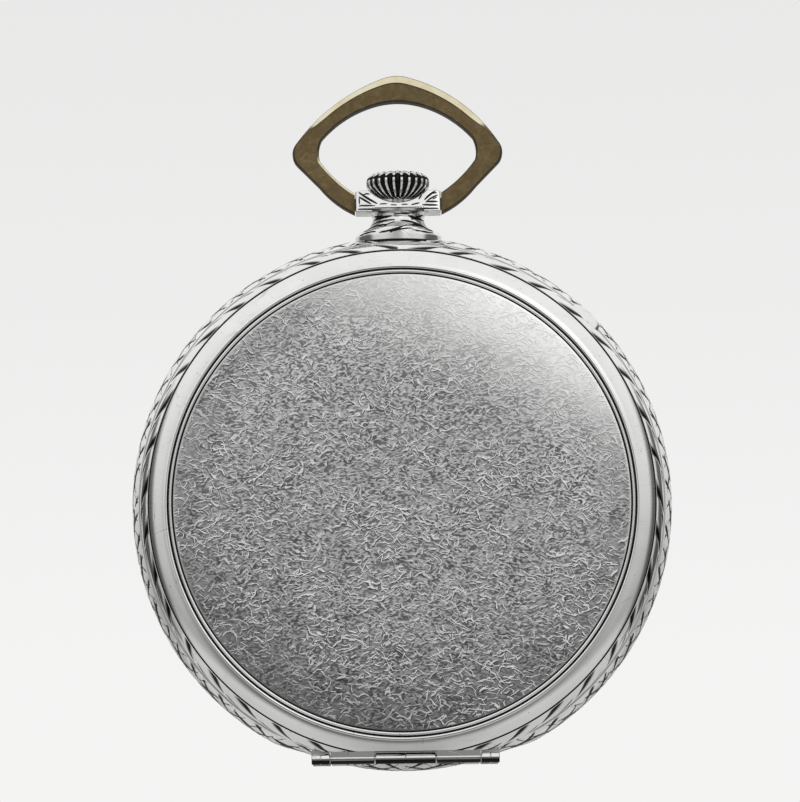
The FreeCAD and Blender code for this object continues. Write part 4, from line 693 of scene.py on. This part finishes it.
def shapeBand(radius, level, angle):
    # leaf blades and a vine round the belly, which is a little flatter over the hinge
    side = np.abs(radius * np.sin(angle))
    # the snap lips stop short of the hinge
    hinged = (side < band["hingeHalf"]) & (radius * np.cos(angle) < band["hingeTop"])
    level = np.where(hinged, np.clip(level, band["back"], band["front"]), level)
    belly = radius > band["belly"]
    across = np.clip((level - band["back"]) / (band["front"] - band["back"]), 0, 1)
    flow = sideFlow(angle)
    cuts = leafCuts(angle * 25, across, 4.36, 6, 0.055, 0.55 * flow)
    cuts = np.maximum(cuts, leafCuts(angle * 25 + 1.7, across, 3.1, 7, 0.025, -0.4 * flow) * 0.8)
    vine = np.clip(1.3 - np.abs(across - 0.5 - 0.12 * np.sin(angle * 36)) / 0.03, 0, 1)
    cuts = np.maximum(cuts, vine) * belly * softMask(across, 0.02, 0.06) * softMask(across, 0.98, 0.94)
    flat = band["flattened"] * softMask(side, 12.5, 9.0) * np.where(np.cos(angle) < 0, 1.0, 0.0) * belly
    return radius - band["cutDepth"] * cuts - band["trim"] - flat, level, cuts


def makeCaseBand():
    parts = [turnedRing(bandProfile, band["segments"], shapeBand)]
    left, right = bothSides(hinge["two"] + hinge["gap"], hinge["end"])
    half = hinge["one"] - hinge["gap"]
    for low, high in (left, right):
        parts.append(block(low, high, 2.32, 8.58, -23.42, -21.4))
    for low, high in (left, (-half, half), right):
        for level, inner in ((hinge["backLevel"], 2.42), (hinge["frontLevel"], 8.48)):
            # these knuckles carry painted shade on their far half
            parts.append(knuckle(level, -hinge["drop"], hinge["radius"], low, high, [(low + high) / 2], 1.0))
            parts.append(block(low + hinge["webInset"], high - hinge["webInset"], *sorted((level, inner)),
                               -23.94, -22.96))
    # the two small knuckles of the dust cover's hinge
    for low, high in bothSides(1.62, 3.38):
        parts.append(knuckle(2.05, -21.75, 0.25, low, high))
        parts.append(block(low, high, 2.05, 2.4, -21.99, -21.51))
    makePiece("engraved_case_band", parts, "case", looks["case_silver"], ["case_band"])


makeCaseBand()
print("case band made")

crown = {"ribs": 24, "segments": 24 * 16, "fluteDepth": 0.16, "skirtDepth": 0.12}
crownProfile = outline([
    (0.02, 28.5), (1.2, 28.5), (2.1, 28.95, 8), (2.72, 29.5), (2.96, 30.05, 10), (2.8, 30.55),
    (2.4, 30.93, 8), (1.8, 31.1), (0.8, 31.18), (0.02, 31.19),
], reach=0.12)


def shapeCrown(radius, height, angle):
    wave = 0.5 - 0.5 * np.cos(angle * crown["ribs"])
    valley = np.clip(1.25 - wave * 1.45, 0, 1) ** 0.7
    fade = softMask(height, 31.08, 30.72) * softMask(radius, 1.3, 1.75)
    shoulder = softMask(height, 30.75, 30.5)
    edge = np.clip(1.6 - np.abs(height - 30.52 - 0.12 * np.cos(angle * crown["ribs"])) / 0.09, 0, 1)
    dark = np.clip(valley * (0.3 + 0.9 * shoulder) + 0.9 * edge, 0, 1) * fade
    return radius - (crown["fluteDepth"] + crown["skirtDepth"] * shoulder) * valley * fade, height, dark


makePiece("fluted_crown_cap", [turnedUp(crownProfile, crown["segments"], shapeCrown)], "stem",
          looks["crown_silver"], ["crown"], sharp=60)
print("crown made")

neck = {"segments": 360, "flat": 3.1, "cutDepth": 0.07}
neckProfile = outline([
    (0.5, 23.95), (3.95, 23.95), (4.0, 24.55), (4.02, 24.95), (3.85, 25.25, 8), (3.3, 25.55),
    (2.72, 26.0, 16), (2.42, 26.55), (2.48, 26.95, 10), (2.95, 27.2), (3.0, 27.4), (0.5, 27.4),
], reach=0.1)
neckCuts = [(-2.3, 26.5, -0.6, 26.75, 0.16, 0.05), (-2.2, 26.85, -1.0, 26.62, 0.13, 0.0),
            (2.35, 26.45, 0.9, 26.8, 0.17, 0.05), (1.2, 26.45, 2.3, 26.95, 0.12, 0.0),
            (-2.6, 26.0, -0.2, 26.35, 0.1, 0.16), (-3.3, 25.35, -0.9, 25.95, 0.12, 0.2),
            (-1.9, 25.2, 0.8, 25.9, 0.13, -0.18), (-0.9, 25.1, 1.4, 25.5, 0.1, 0.12),
            (0.2, 26.3, 2.5, 25.7, 0.13, 0.14), (0.9, 25.95, 3.2, 25.3, 0.12, 0.16),
            (1.3, 25.35, 3.5, 25.1, 0.1, 0.0),
            (-3.7, 25.0, -2.0, 25.3, 0.11, 0.08), (-3.95, 24.42, 3.95, 24.42, 0.17, 0.0),
            (-0.5, 26.9, 1.6, 27.0, 0.07, 0.0), (-1.6, 25.62, -0.2, 26.2, 0.07, 0.1)]


def shapeNeck(radius, height, angle):
    cuts = strokeDepth(radius * np.sin(angle), height, neckCuts) * (radius > 1.0)
    return radius - neck["cutDepth"] * cuts, height, np.clip(cuts * 1.4, 0, 1)


def ovalNeck():
    # the turned foot and neck, squeezed so that they stay within the band's thickness
    points, faces, cutsAndPaintedLight = turnedUp(neckProfile, neck["segments"], shapeNeck)
    away = np.hypot(points[:, 0], points[:, 1] - stemLevel)
    oval = np.minimum(1.0, neck["flat"] / np.maximum(away, 0.1))
    points[:, 1] = stemLevel + (points[:, 1] - stemLevel) * oval
    return points, faces, cutsAndPaintedLight


# a saddle of radius ball between two raised corners, its faces rounded off by soft at the edges
saddle = {"half": 3.95, "depth": 1.8, "low": 27.2, "high": 29.3, "corner": 2.7, "dip": 28.2, "ball": 3.864,
          "soft": 0.13, "cutDepth": 0.06, "columns": 150, "rows": 44}
earCuts = [(-3.69, 29.14, -1.9, 27.98, 0.13, -0.06), (-3.64, 28.66, -2.5, 27.95, 0.12, 0.0),
           (-3.62, 28.6, -3.58, 27.95, 0.09, 0.0), (-3.7, 27.8, -2.1, 27.8, 0.08, 0.0),
           (-3.3, 28.75, -2.6, 28.9, 0.07, 0.1), (-1.75, 27.96, -1.0, 28.0, 0.07, 0.0),
           (-0.7, 27.9, -0.1, 27.86, 0.06, 0.0), (0.3, 27.92, 0.9, 27.9, 0.06, 0.0),
           (1.2, 27.85, 2.0, 28.02, 0.08, 0.0), (2.42, 28.26, 3.49, 29.16, 0.13, 0.05),
           (2.65, 28.15, 3.7, 28.75, 0.1, 0.05), (2.5, 28.12, 3.7, 28.12, 0.1, 0.0),
           (3.1, 28.9, 3.62, 28.98, 0.08, 0.0), (1.9, 28.36, 2.2, 28.8, 0.09, 0.0),
           (2.2, 27.82, 3.7, 27.78, 0.1, 0.0), (-3.85, 27.46, 3.85, 27.46, 0.12, 0.0),
           (-2.4, 27.62, 2.4, 27.62, 0.04, 0.0), (3.2, 28.35, 3.6, 28.55, 0.07, 0.0)]


def saddleEars():
    x = np.linspace(-saddle["half"], saddle["half"], saddle["columns"])[:, None]
    share = np.linspace(0, 1, saddle["rows"])[None, :]
    hollow = saddle["dip"] + saddle["ball"] - np.sqrt(np.maximum(saddle["ball"] ** 2 - x ** 2, 0.01))
    crest = np.where(np.abs(x) < saddle["corner"], hollow, saddle["high"])
    crest = crest - 0.12 * softMask(np.abs(x), saddle["half"] - 0.45, saddle["half"])
    z = saddle["low"] + (crest - saddle["low"]) * share
    inset = np.minimum(np.minimum(z - saddle["low"], crest - z), saddle["half"] - np.abs(x))
    soft = saddle["soft"]
    fall = soft - np.sqrt(np.maximum(soft ** 2 - (soft - np.minimum(inset, soft)) ** 2, 0))
    cuts = strokeDepth(x + 0 * z, z, earCuts)
    near = saddle["depth"] - fall - saddle["cutDepth"] * cuts
    near = near - 0.3 * share ** 1.3 - 0.12 * (x / saddle["half"]) ** 2
    back = np.stack([x + 0 * z, stemLevel - near, z], axis=-1)
    front = np.stack([x + 0 * z, stemLevel + near, z], axis=-1)[:, ::-1]
    loop = np.concatenate([back, front], axis=1)
    cutsAndPaintedLight = np.concatenate([cuts, cuts[:, ::-1]], axis=1)
    return (loop.reshape(-1, 3), cappedNet(saddle["columns"], saddle["rows"] * 2),
            np.clip(cutsAndPaintedLight * 1.4, 0, 1).reshape(-1))


makePiece("engraved_pendant", [ovalNeck(), saddleEars()], "case", looks["case_silver"],
          ["pendant"], sharp=45)
print("pendant made")

bow = {"steps": 260, "armTop": 29.1, "pin": (2.67, 4.8), "pinRadius": 0.59, "pinHeight": 28.1,
       "halfDepths": (0.5, 0.64, 0.8, 0.93, 0.95, 0.95, 0.95, 0.92, 0.8, 0.66)}
outerEdge = [(4.03, 27.15), (5.5, 28.0, 30), (7.29, 29.7), (9.36, 31.8), (9.78, 32.83, 24), (9.42, 33.86),
             (6.3, 37.3, 50), (1.2, 39.94), (0, 40.14, 20), (-1.2, 39.94), (-6.18, 37.2, 50), (-9.42, 33.86),
             (-9.78, 32.83, 24), (-9.36, 31.8), (-7.29, 29.7), (-5.5, 28.0, 30), (-4.03, 27.15)]
innerHalf = [(4.03, 29.1), (5.82, 30.53, 30), (7.2, 32.13), (7.32, 33.13, 24), (7.02, 34.23),
             (5.02, 36.0, 40), (2.6, 37.2)]
innerEdge = innerHalf + [(0, 37.65, 40)] + [(-x, *rest) for x, *rest in innerHalf[::-1]]


def evenly(points, count):
    # the same curve with its points spread evenly along it
    steps = np.linalg.norm(np.diff(points, axis=0), axis=1)
    run = np.concatenate([[0], np.cumsum(steps)])
    at = np.linspace(0, run[-1], count)
    return np.stack([np.interp(at, run, points[:, k]) for k in (0, 1)], axis=1)


def cornerPaintedLight(corner, upper, lowLeft):
    # how a corner of the section is painted, from -0.9 for painted shadow to 1 for a painted highlight
    if corner in (0, 4, 9):
        return -0.9
    if corner < 4:
        return 1.9 * upper - 0.9
    if corner in (7, 8):
        return 1.9 * lowLeft - 0.9
    return 0.0 if corner == 5 else -0.3


def bentBar():
    # ten corners run from the outer edge to the inner one on the back, and the same ten on the front
    outside = evenly(outline(outerEdge), bow["steps"])
    inside = evenly(outline(innerEdge), bow["steps"])
    inside[[0, -1], 1] = bow["armTop"]
    corners = list(enumerate(bow["halfDepths"]))
    net, paintedLight = [], []
    for (x, z), across in zip(outside, inside - outside):
        # where the painted highlight falls: the top of the outer bevel and the lower left of the inner edge
        upper = softMask(z, 33.6, 36.5)
        lowLeft = softMask(-x, 2.0, 4.5) * (1 - softMask(z, 31.0, 33.0))
        bevel = 0.055 + (0.235 + 0.05 * softMask(x, -3.0, 6.0)) * upper
        edge = 0.07 + 0.08 * lowLeft
        shares = [0.0, 0.12 * bevel, 0.5 * bevel, 0.88 * bevel, bevel, bevel + 0.05,
                  1 - edge, 1 - 0.6 * edge, 1 - 0.2 * edge, 1.0]
        ring = [(corner, -depth) for corner, depth in corners] + corners[::-1]
        net += [(x + across[0] * shares[corner], stemLevel + depth, z + across[1] * shares[corner])
                for corner, depth in ring]
        paintedLight += [cornerPaintedLight(corner, upper, lowLeft) for corner, depth in ring]
    return np.array(net), cappedNet(bow["steps"], 2 * len(corners)), np.array(paintedLight)


def brassWithPaintedLight(name):
    # dark brown brass face, with a painted highlight of pale gold on the top of the outer bevel and the lower
    # left of the inner edge, and painted shadow along the other edges
    material, tree, shader, place = newMaterial(name)
    stain = tarnishAt(tree, place, 1.6, 0.25, 0.09)
    lines = hairlinesAt(tree, place, 1.2, 0.03, 0.5)
    paintedLightLevel = put(tree, "Attribute", attribute_name="cutsAndPaintedLight").outputs["Fac"]
    face = blendColour(tree, stain["Clouds"], (0.125, 0.088, 0.032, 1), (0.165, 0.12, 0.05, 1))
    mottle = ramp(tree, noiseAt(tree, place, 2.6, 4.0), 0.4, 0.62)
    face = blendColour(tree, times(tree, mottle, 0.5), face, (0.1, 0.062, 0.026, 1))
    face = blendColour(tree, ramp(tree, stain["Grains"], 0.5, 0.75, 0.0, 0.35), face, (0.2, 0.16, 0.09, 1))
    # painted highlight: pale gold where a corner is marked bright
    pale = blendColour(tree, stain["Clouds"], (0.7, 0.62, 0.42, 1), (0.76, 0.72, 0.54, 1))
    edge = ramp(tree, plus(tree, paintedLightLevel, times(tree, stain["Grains"], 0.2)), 0.3, 0.75)
    tone = blendColour(tree, edge, face, pale)
    # painted shadow: near black where a corner is marked dark
    paintedShadow = ramp(tree, paintedLightLevel, -0.75, -0.25, 1.0, 0.0)
    tone = blendColour(tree, paintedShadow, tone, (0.026, 0.016, 0.006, 1))
    tone = blendColour(tree, times(tree, lines, 0.3), tone, (0.3, 0.24, 0.14, 1))
    rough = plus(tree, calc(tree, "MULTIPLY_ADD", stain["Grains"], 0.15, 0.5), times(tree, edge, -0.4))
    tree.links.new(calc(tree, "MULTIPLY_ADD", edge, 0.55, 0.45), shader.inputs["Metallic"])
    finish(tree, shader, tone, rough, plus(tree, stain["Grains"], mottle), 0.000012, 0.6)
    return material


parts = [bentBar()]
for low, high in bothSides(*bow["pin"]):
    parts.append(knuckle(stemLevel, bow["pinHeight"], bow["pinRadius"], low, high))
makePiece("lozenge_bow", parts, "bow", brassWithPaintedLight("bowBrass"), ["bow"], sharp=24)
print("bow made")

dialPrint = {"level": 9.007, "radius": 16.9, "height": 3.1, "track": 19.6, "letterGap": 0.06, "serif": 0.05}
secondsPrint = {"centre": (0.0, -9.4), "level": 8.857, "outer": 4.55, "short": 4.1, "long": 3.7}
# each letter's width and shapes, one unit tall; its serifs run between pairs of places across it
glyphs = {
    "I": (0.52, [[(0.12, 0), (0.4, 0), (0.4, 1), (0.12, 1)]]),
    "V": (0.9, [[(0, 1), (0.26, 1), (0.55, 0), (0.42, 0)], [(0.42, 0), (0.5, 0), (0.88, 1), (0.8, 1)]]),
    "X": (0.9, [[(0, 1), (0.27, 1), (0.88, 0), (0.61, 0)], [(0, 0), (0.08, 0), (0.88, 1), (0.8, 1)]]),
}
serifs = {"I": [(0, 0.52)], "V": [(-0.04, 0.34), (0.7, 0.98)], "X": [(-0.04, 0.34), (0.66, 0.98)]}
hours = ["XII", "I", "II", "III", "IIII", "V", "VI", "VII", "VIII", "IX", "X", "XI"]


class Print:
    def __init__(self):
        self.points, self.faces = [], []

    def patch(self, corners, level):
        start = len(self.points)
        self.points += [(x, level, z) for x, z in corners]
        self.faces.append(tuple(range(start, start + len(corners))))

    def ring(self, centre, inner, outer, level, count=240):
        for k in range(count):
            a, b = 2 * math.pi * k / count, 2 * math.pi * (k + 1) / count
            self.patch([(centre[0] + r * math.sin(t), centre[1] + r * math.cos(t))
                        for r, t in ((inner, a), (outer, a), (outer, b), (inner, b))], level)

    def tick(self, centre, angle, inner, outer, width, level):
        out, side = (-math.sin(angle), math.cos(angle)), (-math.cos(angle), -math.sin(angle))
        self.patch([(centre[0] + out[0] * r + side[0] * w, centre[1] + out[1] * r + side[1] * w)
                    for r, w in ((inner, -width), (outer, -width), (outer, width), (inner, width))], level)


def printNumeral(ink, number, word):
    angle = number * math.pi / 6
    squeeze = 0.62 * (0.72 if len(word) > 3 else 0.85) * dialPrint["height"]
    cursor = -(sum(glyphs[letter][0] for letter in word) + dialPrint["letterGap"] * (len(word) - 1)) / 2
    for letter in word:
        wide, shapes = glyphs[letter]
        bars = [[(a, foot), (b, foot), (b, foot + dialPrint["serif"]), (a, foot + dialPrint["serif"])]
                for a, b in serifs[letter] for foot in ((0.95,) if letter == "V" else (0.0, 0.95))]
        for shape in shapes + bars:
            spots = []
            for u, v in shape:
                s = (cursor + u) * squeeze
                t = dialPrint["radius"] + (v - 0.5) * dialPrint["height"]
                spots.append((-t * math.sin(angle) - s * math.cos(angle),
                              t * math.cos(angle) - s * math.sin(angle)))
            ink.patch(spots, dialPrint["level"])
        cursor += wide + dialPrint["letterGap"]


def makeDialPrint():
    ink = Print()
    for number, word in enumerate(hours):
        if number != 6:
            printNumeral(ink, number, word)
    level, track = dialPrint["level"], dialPrint["track"]
    for minute in range(60):
        end, width = (track + 0.05, 0.11) if minute % 5 == 0 else (track, 0.045)
        ink.tick((0, 0), minute * math.pi / 30, track - 0.42, end, width, level)
    ink.ring((0, 0), track - 0.46, track - 0.4, level)
    ink.ring((0, 0), track + 0.02, track + 0.08, level)
    centre, level = secondsPrint["centre"], secondsPrint["level"]
    for second in range(60):
        start, width = (secondsPrint["short"], 0.035) if second % 5 else (secondsPrint["long"], 0.07)
        ink.tick(centre, second * math.pi / 30, start, secondsPrint["outer"], width, level)
    ink.ring(centre, 4.53, 4.59, level, 120)
    ink.ring(centre, 4.07, 4.11, level, 120)
    parts = [(np.array(ink.points), ink.faces, np.zeros(len(ink.points)))]
    makePiece("dial_print", parts, "case", enamelFace("blackEnamel", ink=True))


makeDialPrint()
print("dial print made")


def angleFrom(tree, towards, way):
    # the angle between each direction and one fixed way
    fixed = tuple(Vector(way).normalized())
    return calc(tree, "ARCCOSINE", put(tree, "VectorMath", {0: towards, 1: fixed}, operation="DOT_PRODUCT")
                .outputs["Value"])


def buildWorld():
    world = bpy.data.worlds.new("softStudio")
    bpy.context.scene.world = world
    world.use_nodes = True
    tree = world.node_tree
    tree.nodes.clear()
    towards = put(tree, "TexCoord").outputs["Generated"]
    split = put(tree, "SeparateXYZ", {0: towards}).outputs
    path = put(tree, "LightPath").outputs
    backdrop = blendColour(tree, ramp(tree, split[2], 0.01, 0.19), (0.905, 0.905, 0.9, 1),
                           (0.815, 0.815, 0.81, 1))
    # a dark room behind the lens, soft at its edges, gives the flat cover its grey middle
    apart = angleFrom(tree, towards, (-0.06, -1.0, -0.17))
    gap = ramp(tree, apart, math.radians(2), math.radians(32))
    level = plus(tree, calc(tree, "MULTIPLY_ADD", gap, 0.62, 0.1),
                 ramp(tree, apart, math.radians(1), math.radians(6), 0.0, 0.03))
    # a soft glow beside the lens lights the upper right of the cover
    beside = angleFrom(tree, towards, (0.21, -0.95, 0.31))
    level = plus(tree, level, ramp(tree, beside, math.radians(3), math.radians(14), 0.6, 0.0))
    lift = ramp(tree, split[2], -0.75, 0.6, 0.25, 1.3)
    level = times(tree, level, lift)
    sideways = calc(tree, "ABSOLUTE", split[0])
    # light off the table top fills the lower rim
    table = times(tree, ramp(tree, split[2], -0.5, -0.26, 0.45, 0.0),
                  ramp(tree, sideways, 0.05, 0.3, 0.6, 1.0))
    level = plus(tree, level, table)
    level = times(tree, level, ramp(tree, sideways, 0.8, 0.93, 1.0, 0.16))
    picked = blendColour(tree, path["Is Glossy Ray"], gray(0.62), grayOf(tree, level))
    picked = blendColour(tree, path["Is Transmission Ray"], picked, backdrop)
    picked = blendColour(tree, path["Is Camera Ray"], picked, backdrop)
    back = put(tree, "Background", {"Color": picked, "Strength": 1.0})
    put(tree, "OutputWorld", {"Surface": back.outputs[0]})


def softLamp(name, place, size, power):
    data = bpy.data.lights.new(name, "AREA")
    data.shape, data.size, data.energy = "DISK", size, power
    lamp = addObject(name, data)
    lamp.location = place
    lamp.rotation_euler = (Vector((0, 0.005, 0.005)) - Vector(place)).to_track_quat("-Z", "Y").to_euler()
    lamp.visible_glossy = False


buildWorld()
softLamp("keySoftbox", (0.35, -0.5, 0.75), 0.45, 4.0)
softLamp("fillSoftbox", (-0.55, 0.5, 0.5), 0.5, 2.5)

floor = {"radius": 0.42, "level": -0.034, "corners": 128}
around = np.arange(floor["corners"]) * 2 * math.pi / floor["corners"]
sheet = [(floor["radius"] * math.cos(a), floor["radius"] * math.sin(a), floor["level"]) for a in around]
mesh = bpy.data.meshes.new("paper_sweep")
mesh.from_pydata(sheet, [], [tuple(range(floor["corners"]))])
sweep = addObject("paper_sweep", mesh)
paper, tree, shader, place = newMaterial("palePaper")
fibre = noiseAt(tree, place, 1.5, 5.0)
tone = blendColour(tree, noiseAt(tree, place, 0.02, 2.0), (0.86, 0.86, 0.855, 1), (0.9, 0.9, 0.89, 1))
tone = blendColour(tree, ramp(tree, fibre, 0.5, 0.8, 0.0, 0.08), tone, (0.7, 0.7, 0.68, 1))
finish(tree, shader, tone, ramp(tree, fibre, 0.2, 0.8, 0.75, 0.95), fibre, 0.00005, 0.4)
mesh.materials.append(paper)
sweep.visible_glossy = False

view = {"lens": 219.9, "distance": 0.45, "elevation": -5.3, "target": (-0.07, 0.5, 9.26), "roll": 0.78}
camera = addObject("viewCamera", bpy.data.cameras.new("viewCamera"))
camera.data.lens = view["lens"]
camera.data.sensor_width = 36
camera.data.clip_start = 0.01
rise = math.radians(view["elevation"])
aim = Vector(view["target"]) * mm
camera.location = aim + view["distance"] * Vector((0, -math.cos(rise), math.sin(rise)))
camera.rotation_euler = (aim - camera.location).to_track_quat("-Z", "Y").to_euler()
camera.rotation_euler.rotate_axis("Z", -math.radians(view["roll"]))
bpy.context.scene.camera = camera
bpy.context.scene.view_settings.view_transform = "Standard"
print("stage, light and camera made")
